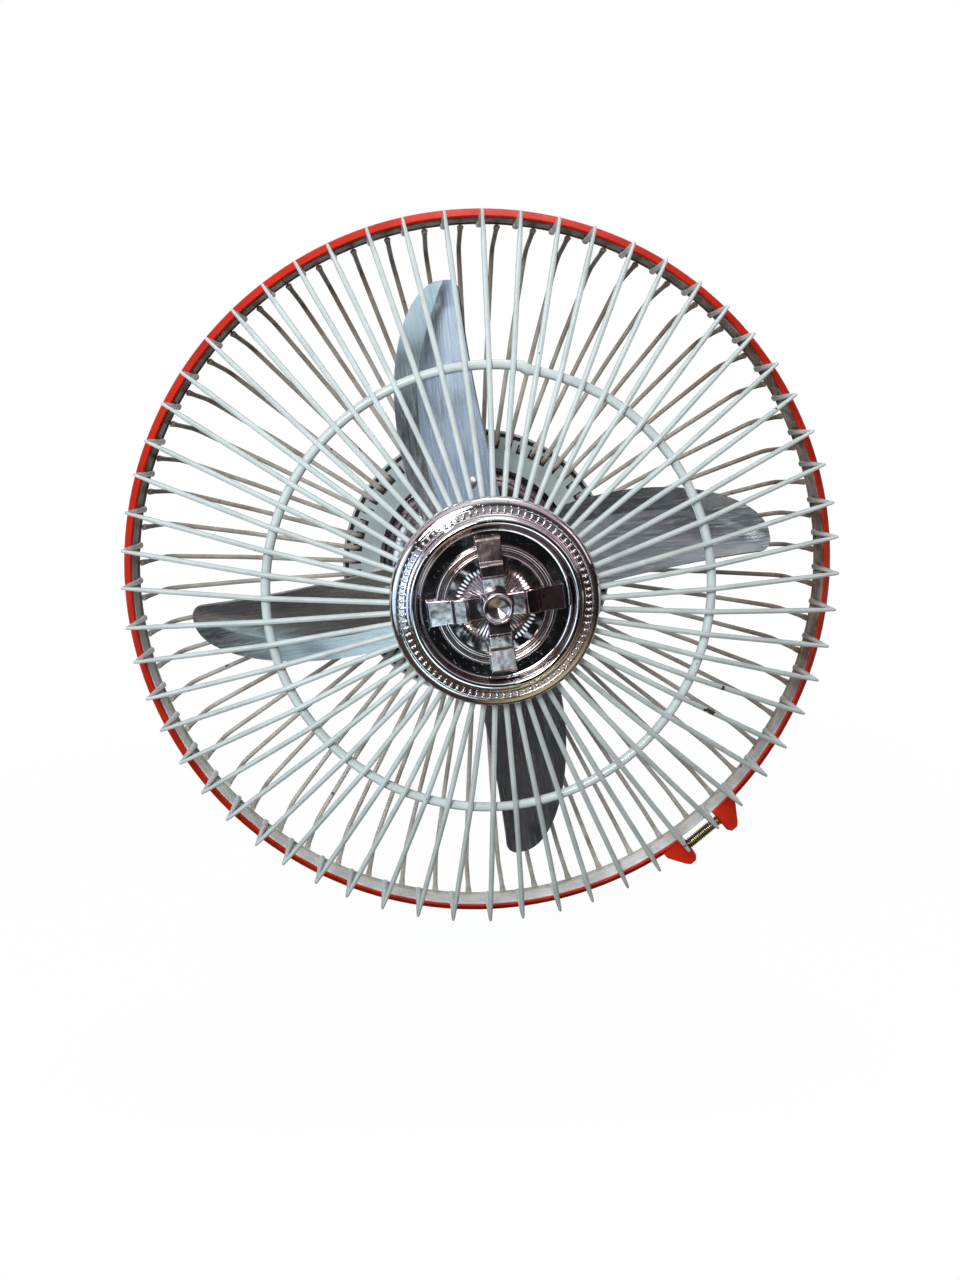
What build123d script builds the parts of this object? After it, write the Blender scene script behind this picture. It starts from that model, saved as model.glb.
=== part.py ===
from build123d import *
import os
from math import atan, cos, degrees, radians, sin, sqrt

os.makedirs("parts", exist_ok=True)

# Caged fan on a tilting yoke, in millimetres: the fan axis is Y, the front faces -Y, +Z is up
# The origin is in the middle of the foot's mounting face. Places named _at are distances forward of the rim plane

# Main places
tilt_height = 60.0  # mounting face to tilt axis
tilt_back = 52.0  # rim plane back to tilt axis
rim_depth = tilt_height + tilt_back

# Fits
weld_sink = 0.15  # how deep welded wires sink into each other
running_gap = 0.05  # round shafts and screws
seat_gap = 0.1  # between faces that sit on each other
free_gap = 0.3  # between parts that move past each other

# Guard wires
wire_count = 60
wire_size = 2.1
wire_sides = 6  # flat sides drawn on each wire
ring_sides = 8  # flat sides drawn on each ring
front_phase = 0.6  # angle of the first front wire
rear_phase = front_phase + 180 / wire_count

# Front half of the guard
inner_end_radius = 27.0
inner_end_at = 53.3
tip_radius = 121.8
tip_at = 14.0
tip_bevel = 1.3
leg_draw = 6.0  # how far each leg comes in from its tip
leg_drop = 17.0  # how far it goes back from its tip
mid_ring_radius = 72.3
mid_ring_at = 36.5
mid_ring_size = 3.1
hub_plate_sheet = 1.2
hub_seat_inner = 21.0
hub_seat_outer = 31.5

# Hub cap and its medallion
cap_radius = 33.0
cap_skirt = 2.7
cap_shoulder = 2.2
cap_sheet = 0.8
cap_crown_rise = 1.7  # top of the shoulder to the roll
cap_roll_radius = 25.8
cap_roll_width = 2.6
cap_roll_height = 1.4
cap_floor_depth = 3.6  # top of the roll down to the floor
cap_well_radius = 12.0
medallion_radius = 19.0
medallion_height = 3.5
medallion_rim = 2.8
boss_radius = 4.9
boss_height = 10.7
cross_reach = 21.5
cross_width = 7.0
cross_height = 5.9
cross_step = 1.7
cross_turn = 7.5
cap_stud_radius = 2.0
cap_nut_flats = 7.0
cap_nut_height = 3.0

# Rim of the guard
strip_sheet = 0.9
strip_width = 5.05
strip_inset = 0.3
rear_ring_size = 3.5
rear_ring_offset = 0.5
band_sheet = 0.9
band_room = 1.1
band_gap_angle = 310.15
band_gap = 14.3
ear_reach = 8.0
ear_base = 8.7
ear_end = 4.9
ear_chamfer = 1.3
ear_side = 0.25  # ear walls stand this far outside the lips
clamp_screw_radius = 2.0
clamp_screw_rise = 3.5  # band to screw axis
clamp_screw_length = 22.6
clamp_head_radius = 3.3
clamp_head_height = 2.8
clamp_nut_flats = 6.6
clamp_nut_height = 3.2

# Rear half of the guard
bowl_wall_angle = 16.6
bowl_corner_at = -22.0
bowl_floor_radius = 84.0
bowl_floor_at = -25.8
rear_wire_overlap = 1.0  # wire beyond the ring's middle
plate_front_at = -26.2
plate_sheet = 1.0
plate_radius = 48.9
plate_hole_room = 1.4  # round the bell's dome
window_length = 2.8
window_depth = 1.4
window_edge = 0.8
slot_edge = 1.1  # windows in to the slots
slot_depth = 3.3
hook_drop = 2.7
hook_run = 1.5
slot_play = 0.4
guard_screw_count = 3
guard_screw_radius = 1.5
guard_screw_angle = 113.0
guard_screw_head = 2.8
guard_screw_head_height = 2.0
guard_screw_length = 4.6
guard_screw_ease = 0.6

# Rotor
rotor_radius = 100.5
blade_count = 4
blade_phase = 6.3
blade_sheet = 0.9
blade_pitch = 24.0
blade_fold = 18.0
blade_root = 20.0
blade_widest = 55.0
blade_lead = 23.0  # leading edge ahead of the arm at the widest place
blade_tip_lead = 2.5
blade_strip = 8.0  # leading strip beyond the fold at the widest place
blade_tip_strip = 0.72  # and at the tip
blade_root_ease = 5.5  # how far the leading edge draws back at the root
blade_trail = 3.0  # trailing edge behind the arm near the tip
blade_heel = 7.0  # how much further it lies behind at the root
blade_heel_curve = 1.7  # power that the heel grows by
blade_corner = 4.5  # rounding of the trailing corner at the tip
blade_stations = 9
last_station = 88.0  # as an angle whose sine is the share of the blade's length
arm_width = 16.0
arm_neck_width = 12.0
arm_neck = 19.0  # where the arm's twist ends
arm_reach = 37.0
spider_sheet = 1.6
spider_radius = 14.0
spider_at = 3.6
neck_step = 0.6  # flat start of each arm beyond the disc
rivet_radius = 1.55
rivet_head = 2.8
rivet_head_height = 1.0
rivet_places = (25.0, 33.0)
small_sides = 8  # flat sides drawn on rivets
rotor_boss_radius = 6.5
rotor_flange_radius = 11.0
rotor_flange_sheet = 2.0
rotor_boss_back = 11.5
rotor_boss_front = 4.5
grub_radius = 2.0
grub_rise = 4.4  # back of the boss to the screw

# Motor
shaft_radius = 2.5
shaft_front_at = 12.0
shaft_flat = 0.4
can_radius = 30.0
can_sheet = 1.5
can_length = 46.0
skirt_length = 6.0
skirt_gap = 0.1
cover_sheet = 1.6
flange_room = 0.8  # slots in to the flange
flange_sheet = 2.5
dome_radius = 34.2
dome_rise = 8.2
dome_bulge = 1.2
dome_sheet = 1.6
arc_runs = 4  # straight runs drawn on each shallow arc
crown_radius = 12.0
front_boss_radius = 9.0
front_boss_rise = 4.5
bush_radius = 4.0
bush_length = 8.0
rear_boss_radius = 7.5
rear_dome_radius = 20.0
rear_dome_rise = 3.4
rear_boss_floor = 0.8
bolt_radius = 1.5
bolt_circle_radius = 25.0
bolt_head = 2.75  # to a corner
bolt_head_height = 2.0
bolt_boss_radius = 3.2
magnet_sheet = 5.8
magnet_half_angle = 62.0
magnet_length = 28.0
magnet_gap = 0.2
armature_radius = 21.6
armature_length = 22.0
armature_shift = 1.0  # forward of the tilt axis
armature_slots = 10
slot_radius = 3.4
slot_circle_radius = 15.8
slot_mouth = 2.0
slot_sides = 8  # flat sides drawn on each slot
winding_gap = 0.2
winding_inner = 9.5
winding_overhang = 4.0
commutator_radius = 7.5
commutator_length = 6.5
commutator_neck_radius = 5.0
commutator_neck_length = 5.5
commutator_bars = 10
commutator_groove = 0.5
spacer_radius = 4.5
end_play = 0.5
brush_size = 5.0
brush_length = 7.5
brush_box_wall = 0.7
brush_box_radius = 21.0
brush_plate_sheet = 1.5
brush_plate_radius = 27.8
brush_plate_room = 1.0  # round the commutator
spring_radius = 2.2
spring_wire = 0.5
grommet_circle_radius = 24.3
grommet_angle = 225.0
grommet_radius = 2.8
grommet_bore = 1.6
grommet_lip = 1.2

# Yoke, tilt knobs and foot
tilt_boss_radius = 6.5
tilt_boss_out = 3.5  # past the can's side
stud_radius = 2.5
yoke_width = 20.0
yoke_sheet = 2.5
yoke_bend = 5.0
washer_radius = 5.5
washer_sheet = 1.0
knob_radius = 9.0
knob_collar_radius = 6.0
knob_collar = 2.0
knob_grip = 6.5
knob_ease = 0.7
knob_flutes = 8
knob_flute_radius = 2.2
stud_inset = 0.6
foot_radius = 37.0
foot_sheet = 2.0
foot_dish_height = 9.7
foot_dish_top = 12.0
foot_dish_base = 20.0
foot_hole_radius = 2.3
foot_hole_circle_radius = 29.0
foot_holes = 3
swivel_radius = 3.0
swivel_flats = 10.0
swivel_head_height = 3.2
swivel_nut_height = 4.0
swivel_washer_radius = 11.0
swivel_washer_sheet = 0.8

# Planes: the rim seen from the front (x right, y up, z forward) and a section (x radius, y forward)
rim = Plane.XZ.offset(rim_depth)
section = Plane(origin=(0, -rim_depth, 0), x_dir=(1, 0, 0), z_dir=(0, 0, -1))
forward_axis = Axis((0, 0, 0), (0, -1, 0))
pivot = Plane(origin=(0, -tilt_height, 0), x_dir=(0, 1, 0), z_dir=(1, 0, 0))


def turned(angle):
    """The rim plane turned about the fan axis, so that its x runs out at this angle."""
    return Plane(origin=rim.origin, x_dir=(cos(radians(angle)), 0, sin(radians(angle))), z_dir=(0, -1, 0))


def section_at(angle):
    """The section through the fan axis at this angle: x is the radius, y the distance forward."""
    across = turned(angle).y_dir
    return Plane(origin=rim.origin, x_dir=turned(angle).x_dir, z_dir=across * -1)


def round_points(radius, count, start):
    """Evenly spaced points round the fan axis, anticlockwise as seen from the front."""
    angles = [radians(start + 360 * k / count) for k in range(count)]
    return [(radius * cos(a), radius * sin(a)) for a in angles]


def bulged(start, end, bulge):
    """Points of a shallow arc in a section, from start to end, that bulges to the right of its chord."""
    chord = Vector(*end) - Vector(*start)
    side = chord.normalized().rotate(Axis.Z, -90)
    shares = [k / arc_runs for k in range(arc_runs + 1)]
    points = [Vector(*start) + chord * t + side * (4 * bulge * t * (1 - t)) for t in shares]
    return [(p.X, p.Y) for p in points]


def bent_wire(points):
    """One guard wire along straight runs, with x as its radius and z as its distance forward."""
    with BuildPart() as bar:
        with BuildLine(Plane.XZ) as route:
            Polyline(*[(p.X, p.Y) for p in points])
        with BuildSketch(Plane(origin=route.line @ 0, x_dir=(0, 1, 0), z_dir=route.line % 0)):
            RegularPolygon(wire_size / 2, wire_sides, major_radius=False, rotation=90 - 180 / wire_sides)
        sweep(transition=Transition.RIGHT)
    return bar.part


# Route of a front wire: hub seat, bend over the middle ring, bevelled hairpin, straight leg
inner_end = Vector(inner_end_radius, inner_end_at)
tip = Vector(tip_radius, tip_at)
leg_end = Vector(tip_radius - leg_draw, tip_at - leg_drop)
mid_centre = Vector(mid_ring_radius, mid_ring_at)
ring_side = (tip - inner_end).normalized().rotate(Axis.Z, 90)
mid_bend = mid_centre + ring_side * ((mid_ring_size + wire_size) / 2 - weld_sink)
inner_run = (mid_bend - inner_end).normalized()
leg_run = (tip - leg_end).normalized()
leg_side = leg_run.rotate(Axis.Z, -90)
tip_start = tip - (tip - mid_bend).normalized() * tip_bevel
tip_finish = tip - leg_run * tip_bevel

# Rim: the strip lies on the outside of the legs, the rear ring behind it, the band round both
lip_slant = sqrt(2)  # length along a lip at 45 degrees for each unit across it
strip_foot = leg_end + leg_side * (wire_size / 2 - weld_sink) + leg_run * strip_inset
strip_middle = strip_foot + leg_side * (strip_sheet / 2) + leg_run * (strip_width / 2)
strip_low = strip_foot + leg_side * strip_sheet
strip_high = strip_low + leg_run * strip_width
ring_corner = rear_ring_size / 2 / cos(radians(180 / ring_sides))
rear_ring_radius = strip_low.X + rear_ring_offset
rear_ring_at = strip_low.Y - rear_ring_size / 2 - seat_gap
band_inner = rear_ring_radius + ring_corner + band_room
band_low = rear_ring_at + (band_inner - rear_ring_radius) - (ring_corner + seat_gap / 2) * lip_slant
band_high = strip_high.Y - (band_inner - strip_high.X) + 2 * seat_gap * lip_slant
leg_tilt = leg_run.X / leg_run.Y
leg_face = leg_end.X + wire_size / 2 / leg_run.Y + (band_high - leg_end.Y) * leg_tilt
band_lip = (band_inner - leg_face - 2 * seat_gap) / (1 + leg_tilt)
band_radius = band_inner + band_sheet
band_front = band_high + band_lip + band_sheet / lip_slant
band_back = band_low - band_lip - band_sheet / lip_slant

# Route of a rear wire: welded inside the rear ring, down the bowl, over the plate, hooked into its slot
wall_down = Vector(0, -1).rotate(Axis.Z, -bowl_wall_angle)
wall_side = wall_down.rotate(Axis.Z, -90)
rear_weld = Vector(rear_ring_radius, rear_ring_at) + wall_side * (
    (rear_ring_size + wire_size) / 2 - weld_sink
)
rear_start = rear_weld - wall_down * rear_wire_overlap
bowl_corner = rear_weld + wall_down * ((bowl_corner_at - rear_weld.Y) / wall_down.Y)
hook_at = plate_front_at + wire_size / 2 - weld_sink
slot_outer_radius = plate_radius - window_edge - window_depth - slot_edge
hook_radius = slot_outer_radius - slot_play
hook_bend = Vector(hook_radius, hook_at)
hook_end = Vector(hook_radius - hook_run, hook_at - hook_drop)
bowl_floor = Vector(bowl_floor_radius, bowl_floor_at)

with BuildPart(rim) as front_guard_wires:
    with PolarLocations(0, wire_count, front_phase):
        add(bent_wire([inner_end, mid_bend, tip_start, tip_finish, leg_end]))
front_guard_wires.part.label = "front_guard_wires"
export_step(front_guard_wires.part, "parts/front_guard_wires.step")

with BuildPart(rim) as rear_guard_wires:
    with PolarLocations(0, wire_count, rear_phase):
        add(bent_wire([rear_start, bowl_corner, bowl_floor, hook_bend, hook_end]))
rear_guard_wires.part.label = "rear_guard_wires"
export_step(rear_guard_wires.part, "parts/rear_guard_wires.step")

with BuildPart() as front_mid_ring:
    with BuildLine(rim.offset(mid_ring_at)) as route:
        Polyline(*round_points(mid_ring_radius, wire_count, front_phase), close=True)
    with BuildSketch(Plane(origin=route.line @ 0, x_dir=rim.z_dir, z_dir=route.line % 0)):
        RegularPolygon(mid_ring_size / 2, ring_sides, major_radius=False)
    sweep(transition=Transition.RIGHT)
front_mid_ring.part.label = "front_mid_ring"
export_step(front_mid_ring.part, "parts/front_mid_ring.step")

with BuildPart() as rear_rim_ring:
    with BuildLine(rim.offset(rear_ring_at)) as route:
        Polyline(*round_points(rear_ring_radius, wire_count, rear_phase), close=True)
    with BuildSketch(Plane(origin=route.line @ 0, x_dir=rim.z_dir, z_dir=route.line % 0)):
        RegularPolygon(rear_ring_size / 2, ring_sides, major_radius=False)
    sweep(transition=Transition.RIGHT)
rear_rim_ring.part.label = "rear_rim_ring"
export_step(rear_rim_ring.part, "parts/rear_rim_ring.step")

# Flat strip welded round the outside of the front wires' legs
with BuildPart() as front_rim_strip:
    with BuildSketch(section):
        with Locations(strip_middle):
            Rectangle(strip_sheet, strip_width, rotation=-degrees(atan(leg_tilt)))
    revolve(axis=Axis.Y)
front_rim_strip.part.label = "front_rim_strip"
export_step(front_rim_strip.part, "parts/front_rim_strip.step")

# Clamp band: a rolled channel with lips at 45 degrees, open at the gap, with a folded ear on each side of it
gap_frame = turned(band_gap_angle)
gap_half = band_gap / 2
ear_top = band_radius + ear_reach
ear_back = band_back - ear_side
ear_width = band_front + ear_side - ear_back
lip_radius = band_inner - band_lip
with BuildPart() as clamp_band:
    with BuildSketch(gap_frame.offset(ear_back)):
        for side in (1, -1):
            with BuildLine():
                Polyline(
                    (lip_radius, side * gap_half),
                    (ear_top - ear_chamfer, side * gap_half),
                    (ear_top, side * (gap_half + ear_chamfer)),
                    (ear_top, side * (gap_half + ear_end - ear_chamfer)),
                    (ear_top - ear_chamfer, side * (gap_half + ear_end)),
                    (band_radius - band_sheet, side * (gap_half + ear_base)),
                    (lip_radius, side * (gap_half + ear_base)),
                    close=True,
                )
            make_face()
        Circle(lip_radius + band_sheet / lip_slant, mode=Mode.SUBTRACT)
    extrude(amount=ear_width)
    with BuildSketch(gap_frame.offset(ear_back + band_sheet)):
        for side in (1, -1):
            with Locations((ear_top, side * (gap_half + band_sheet + ear_base))):
                Rectangle(2 * ear_top - 2 * lip_radius, 2 * ear_base)
    extrude(amount=ear_width - 2 * band_sheet, mode=Mode.SUBTRACT)
    with BuildSketch(section):
        with BuildLine():
            Polyline(
                (lip_radius, band_high + band_lip),
                (band_inner, band_high),
                (band_inner, band_low),
                (lip_radius, band_low - band_lip),
            )
            offset(amount=band_sheet, side=Side.LEFT, kind=Kind.INTERSECTION)
        make_face()
    revolve(axis=Axis.Y)
    with BuildSketch(section):
        with BuildLine():
            Polyline(
                (lip_radius, band_high + band_lip),
                (band_inner, band_high),
                (band_inner, band_low),
                (lip_radius, band_low - band_lip),
                close=True,
            )
        make_face()
    revolve(axis=Axis.Y, mode=Mode.SUBTRACT)
    with BuildSketch(gap_frame.offset(ear_back)):
        with Locations((band_radius, 0)):
            Rectangle(4 * ear_reach, band_gap)
    extrude(amount=ear_width, mode=Mode.SUBTRACT)
    screw_middle = gap_frame.from_local_coords((band_radius + clamp_screw_rise, 0, ear_back + ear_width / 2))
    screw_plane = Plane(origin=screw_middle, x_dir=gap_frame.x_dir, z_dir=gap_frame.y_dir)
    with BuildSketch(screw_plane):
        Circle(clamp_screw_radius + free_gap)
    extrude(amount=gap_half + ear_base, both=True, mode=Mode.SUBTRACT)
clamp_band.part.label = "clamp_band"
export_step(clamp_band.part, "parts/clamp_band.step")

ear_seat = gap_half + band_sheet + seat_gap
with BuildPart() as clamp_screw:
    with BuildSketch(screw_plane.offset(ear_seat)):
        Circle(clamp_head_radius)
    extrude(amount=clamp_head_height)
    chamfer(clamp_screw.edges().sort_by(Axis(screw_middle, screw_plane.z_dir))[-1], clamp_head_height / 4)
    with BuildSketch(screw_plane.offset(ear_seat)):
        Circle(clamp_screw_radius)
    extrude(amount=-clamp_screw_length)
clamp_screw.part.label = "clamp_screw"
export_step(clamp_screw.part, "parts/clamp_screw.step")

with BuildPart() as clamp_nut:
    with BuildSketch(screw_plane.offset(-ear_seat)):
        RegularPolygon(clamp_nut_flats / 2, 6, major_radius=False, rotation=30)
        Circle(clamp_screw_radius + running_gap, mode=Mode.SUBTRACT)
    extrude(amount=-clamp_nut_height)
clamp_nut.part.label = "clamp_nut"
export_step(clamp_nut.part, "parts/clamp_nut.step")

# Hub plate: a flat disc with a sloping seat under the inner ends of the front wires
wire_slope = inner_run.Y / inner_run.X
seat_drop = (wire_size / 2 - weld_sink) / inner_run.X
hub_disc_at = inner_end.Y + (hub_seat_inner - inner_end.X) * wire_slope - seat_drop
with BuildPart() as front_hub_plate:
    with BuildSketch(section):
        with BuildLine():
            Polyline(
                (cap_stud_radius + seat_gap, hub_disc_at),
                (hub_seat_inner, hub_disc_at),
                (hub_seat_outer, hub_disc_at + (hub_seat_outer - hub_seat_inner) * wire_slope),
            )
            offset(amount=hub_plate_sheet, side=Side.RIGHT, kind=Kind.INTERSECTION)
        make_face()
    revolve(axis=Axis.Y)
front_hub_plate.part.label = "front_hub_plate"
export_step(front_hub_plate.part, "parts/front_hub_plate.step")

# Cap: skirt on the wires, rounded shoulder, sloping crown, roll, recess, and a well down to the hub plate
skirt_inner = cap_radius - cap_sheet
wire_top = inner_end.Y + (skirt_inner - inner_end.X) * wire_slope + wire_size / 2 / inner_run.X
skirt_at = wire_top + seat_gap
crown_at = skirt_at + cap_skirt + cap_shoulder
roll_at = crown_at + cap_crown_rise
roll_outer = cap_roll_radius + cap_roll_width / 2
roll_inner = cap_roll_radius - cap_roll_width / 2
roll_flat = cap_roll_width / 4
cap_floor_at = roll_at + cap_roll_height - cap_floor_depth
well_at = hub_disc_at + seat_gap + cap_sheet
shoulder = bulged(
    (cap_radius, crown_at - cap_shoulder),
    (cap_radius - cap_shoulder, crown_at),
    cap_shoulder * (1 - cos(radians(45))),
)
with BuildPart() as hub_cap:
    with BuildSketch(section):
        with BuildLine():
            Polyline(
                (cap_radius, skirt_at),
                *shoulder,
                (roll_outer, roll_at),
                (cap_roll_radius + roll_flat, roll_at + cap_roll_height),
                (cap_roll_radius - roll_flat, roll_at + cap_roll_height),
                (roll_inner, roll_at),
                (roll_inner, cap_floor_at),
                (cap_well_radius, cap_floor_at),
                (cap_well_radius - cap_sheet, well_at),
                (cap_stud_radius + seat_gap, well_at),
                (cap_stud_radius + seat_gap, well_at - cap_sheet),
                (cap_well_radius - cap_sheet / 2, well_at - cap_sheet),
                (cap_well_radius + cap_sheet / 2, cap_floor_at - cap_sheet),
                (roll_inner + cap_sheet, cap_floor_at - cap_sheet),
                (roll_inner + cap_sheet, roll_at - cap_sheet / 2),
                (roll_outer, roll_at - cap_sheet),
                (cap_radius - cap_shoulder - cap_sheet / 2, crown_at - cap_sheet),
                (skirt_inner, crown_at - cap_shoulder),
                (skirt_inner, skirt_at),
                close=True,
            )
        make_face()
    revolve(axis=Axis.Y)
hub_cap.part.label = "hub_cap"
export_step(hub_cap.part, "parts/hub_cap.step")

# Medallion: a disc with a raised rim, a stepped cross and a dimpled boss
stud_depth = cross_height
with BuildPart() as cap_medallion:
    with BuildSketch(section):
        with BuildLine():
            Polyline(
                (0, cap_floor_at),
                (medallion_radius, cap_floor_at),
                (medallion_radius, cap_floor_at + medallion_height),
                (medallion_radius - medallion_rim, cap_floor_at + medallion_height),
                (medallion_radius - medallion_rim, cap_floor_at + medallion_height - cap_sheet / 2),
                (boss_radius, cap_floor_at + medallion_height - cap_sheet / 2),
                (boss_radius, cap_floor_at + boss_height),
                (boss_radius / 2, cap_floor_at + boss_height),
                (0, cap_floor_at + boss_height - boss_radius / 4),
                close=True,
            )
        make_face()
    revolve(axis=Axis.Y)
    with BuildSketch(rim.offset(cap_floor_at + seat_gap)):
        Rectangle(2 * cross_reach, cross_width, rotation=cross_turn)
        Rectangle(cross_width, 2 * cross_reach, rotation=cross_turn)
    extrude(amount=cross_height - cross_step - seat_gap)
    with BuildSketch(rim.offset(cap_floor_at + cross_height - cross_step)):
        Rectangle(cross_reach + boss_radius, cross_width, rotation=cross_turn)
        Rectangle(cross_width, cross_reach + boss_radius, rotation=cross_turn)
    extrude(amount=cross_step)
    with BuildSketch(rim.offset(cap_floor_at)):
        Circle(cap_stud_radius + running_gap)
    extrude(amount=stud_depth, mode=Mode.SUBTRACT)
cap_medallion.part.label = "cap_medallion"
export_step(cap_medallion.part, "parts/cap_medallion.step")

hub_back_at = hub_disc_at - hub_plate_sheet
with BuildPart() as cap_screw:
    with BuildSketch(rim.offset(hub_back_at - cap_nut_height - cap_stud_radius / 2)):
        Circle(cap_stud_radius)
    extrude(amount=cap_floor_at + stud_depth - seat_gap - hub_back_at + cap_nut_height + cap_stud_radius / 2)
cap_screw.part.label = "cap_screw"
export_step(cap_screw.part, "parts/cap_screw.step")

with BuildPart() as cap_nut:
    with BuildSketch(rim.offset(hub_back_at - cap_nut_height)):
        RegularPolygon(cap_nut_flats / 2, 6, major_radius=False)
        Circle(cap_stud_radius + running_gap, mode=Mode.SUBTRACT)
    extrude(amount=cap_nut_height)
cap_nut.part.label = "cap_nut"
export_step(cap_nut.part, "parts/cap_nut.step")

# Rear plate: slots for the hooked wire ends and a window between each pair of wires
window_circle_radius = plate_radius - window_edge - window_depth / 2
flange_radius = slot_outer_radius - slot_depth - flange_room
plate_hole_radius = dome_radius + plate_hole_room
guard_screw_circle_radius = (plate_hole_radius + flange_radius) / 2
plate_back_at = plate_front_at - plate_sheet
with BuildPart() as rear_guard_plate:
    with BuildSketch(rim.offset(plate_back_at)):
        Circle(plate_radius)
        Circle(plate_hole_radius, mode=Mode.SUBTRACT)
        with PolarLocations(window_circle_radius, wire_count, rear_phase + 180 / wire_count):
            Rectangle(window_depth, window_length, mode=Mode.SUBTRACT)
        with PolarLocations(slot_outer_radius - slot_depth / 2, wire_count, rear_phase):
            Rectangle(slot_depth, wire_size + slot_play, mode=Mode.SUBTRACT)
        with PolarLocations(guard_screw_circle_radius, guard_screw_count, guard_screw_angle):
            Circle(guard_screw_radius + seat_gap, mode=Mode.SUBTRACT)
    extrude(amount=plate_sheet)
rear_guard_plate.part.label = "rear_guard_plate"
export_step(rear_guard_plate.part, "parts/rear_guard_plate.step")

with BuildPart() as guard_screws:
    with BuildSketch(rim.offset(plate_front_at)):
        with PolarLocations(guard_screw_circle_radius, guard_screw_count, guard_screw_angle):
            Circle(guard_screw_head)
    extrude(amount=guard_screw_head_height)
    chamfer(guard_screws.edges().group_by(forward_axis)[-1], guard_screw_ease)
    with BuildSketch(rim.offset(plate_front_at)):
        with PolarLocations(guard_screw_circle_radius, guard_screw_count, guard_screw_angle):
            Circle(guard_screw_radius)
    extrude(amount=-guard_screw_length)
guard_screws.part.label = "guard_screws"
export_step(guard_screws.part, "parts/guard_screws.step")


# Blade outline: how far the edges and the fold lie ahead of the arm at a given radius
def leading_edge(u):
    if u < blade_widest:
        return blade_lead - blade_root_ease * ((blade_widest - u) / (blade_widest - blade_root)) ** 2
    x = (u - blade_widest) / (rotor_radius - blade_widest)
    return blade_tip_lead + (blade_lead - blade_tip_lead) * sqrt(1 - x**2)


def fold_line(u):
    if u < blade_widest:
        return leading_edge(u) - blade_strip
    x = (u - blade_widest) / (rotor_radius - blade_widest)
    fold_tip = blade_tip_lead - blade_tip_strip
    return fold_tip + (blade_lead - blade_strip - fold_tip) * (1 - x**2)


def trailing_edge(u):
    corner = rotor_radius - blade_corner
    if u < corner:
        return -blade_trail - blade_heel * ((corner - u) / (corner - blade_root)) ** blade_heel_curve
    return blade_tip_lead - (blade_tip_lead + blade_trail) * sqrt(1 - ((u - corner) / blade_corner) ** 2)


def arm_plane(angle):
    """Plane of a blade arm: x runs out along the arm, y ahead across it, z forward out of its face."""
    base = turned(angle)
    face = base.z_dir * cos(radians(blade_pitch)) + base.y_dir * sin(radians(blade_pitch))
    return Plane(origin=rim.from_local_coords((0, 0, spider_at)), x_dir=base.x_dir, z_dir=face)


def across_arm(angle, u):
    """Plane square to an arm at a radius: x runs ahead across the arm, y forward out of its face."""
    arm = arm_plane(angle)
    return Plane(origin=arm.from_local_coords((u, 0, 0)), x_dir=arm.y_dir, z_dir=arm.x_dir)


def blade_section(u):
    """Corners of the bent sheet at a radius, from the trailing edge round the fold and back."""
    pitch, fold = radians(blade_pitch), radians(blade_fold)
    tail_x = trailing_edge(u) / cos(pitch)
    fold_x = fold_line(u) / cos(pitch)
    strip = (leading_edge(u) - fold_line(u)) / cos(pitch - fold)
    back = spider_sheet / 2
    front = back + blade_sheet
    nose = (fold_x + strip * cos(fold), back + strip * sin(fold))
    return [
        (tail_x, back),
        (fold_x, back),
        nose,
        (nose[0] - blade_sheet * sin(fold), nose[1] + blade_sheet * cos(fold)),
        (fold_x - blade_sheet * sin(fold / 2), front),
        (tail_x, front),
    ]


blade_angles = [blade_phase + 360 * k / blade_count for k in range(blade_count)]
station_angles = [radians(last_station * k / (blade_stations - 1)) for k in range(blade_stations)]
stations = [blade_root + (rotor_radius - blade_root) * sin(a) for a in station_angles]
rivet_hole = rivet_radius + running_gap
for number, angle in enumerate(blade_angles, start=1):
    with BuildPart() as blade:
        for u in stations:
            with BuildSketch(across_arm(angle, u)):
                with BuildLine():
                    Polyline(*blade_section(u), close=True)
                make_face()
        loft(ruled=True)
        with BuildSketch(arm_plane(angle)):
            with Locations(*[(u, 0) for u in rivet_places]):
                RegularPolygon(rivet_hole, small_sides, major_radius=False)
        extrude(amount=spider_sheet + 2 * blade_sheet, mode=Mode.SUBTRACT)
    blade.part.label = f"blade_{number}"
    export_step(blade.part, f"parts/blade_{number}.step")

# Spider: a disc on the rotor's boss with four arms that twist to the blades' pitch
neck_foot = spider_radius + neck_step
pitched = Plane(
    origin=(0, 0, 0), x_dir=(1, 0, 0), z_dir=(0, sin(radians(blade_pitch)), cos(radians(blade_pitch)))
)
with BuildPart() as spider_arm:
    with BuildSketch(Plane.YZ.offset(neck_foot)):
        Rectangle(arm_neck_width, spider_sheet)
    with BuildSketch(Plane.YZ.offset(arm_neck)):
        Rectangle(arm_width, spider_sheet, rotation=-blade_pitch)
    loft(ruled=True)
    with BuildSketch(Plane.YZ.offset(arm_neck)):
        Rectangle(arm_width, spider_sheet, rotation=-blade_pitch)
    extrude(amount=arm_reach - arm_neck)
    with BuildSketch(pitched):
        with Locations(*[(u, 0) for u in rivet_places]):
            RegularPolygon(rivet_hole, small_sides, major_radius=False)
    extrude(amount=spider_sheet, both=True, mode=Mode.SUBTRACT)
with BuildPart(rim.offset(spider_at)) as blade_spider:
    with BuildSketch(rim.offset(spider_at)):
        Circle(spider_radius)
        with PolarLocations(neck_foot / 2, blade_count, blade_phase):
            Rectangle(neck_foot, arm_neck_width)
        Circle(rotor_boss_radius + running_gap, mode=Mode.SUBTRACT)
    extrude(amount=spider_sheet / 2, both=True)
    with PolarLocations(0, blade_count, blade_phase):
        add(spider_arm.part)
blade_spider.part.label = "blade_spider"
export_step(blade_spider.part, "parts/blade_spider.step")

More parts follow.
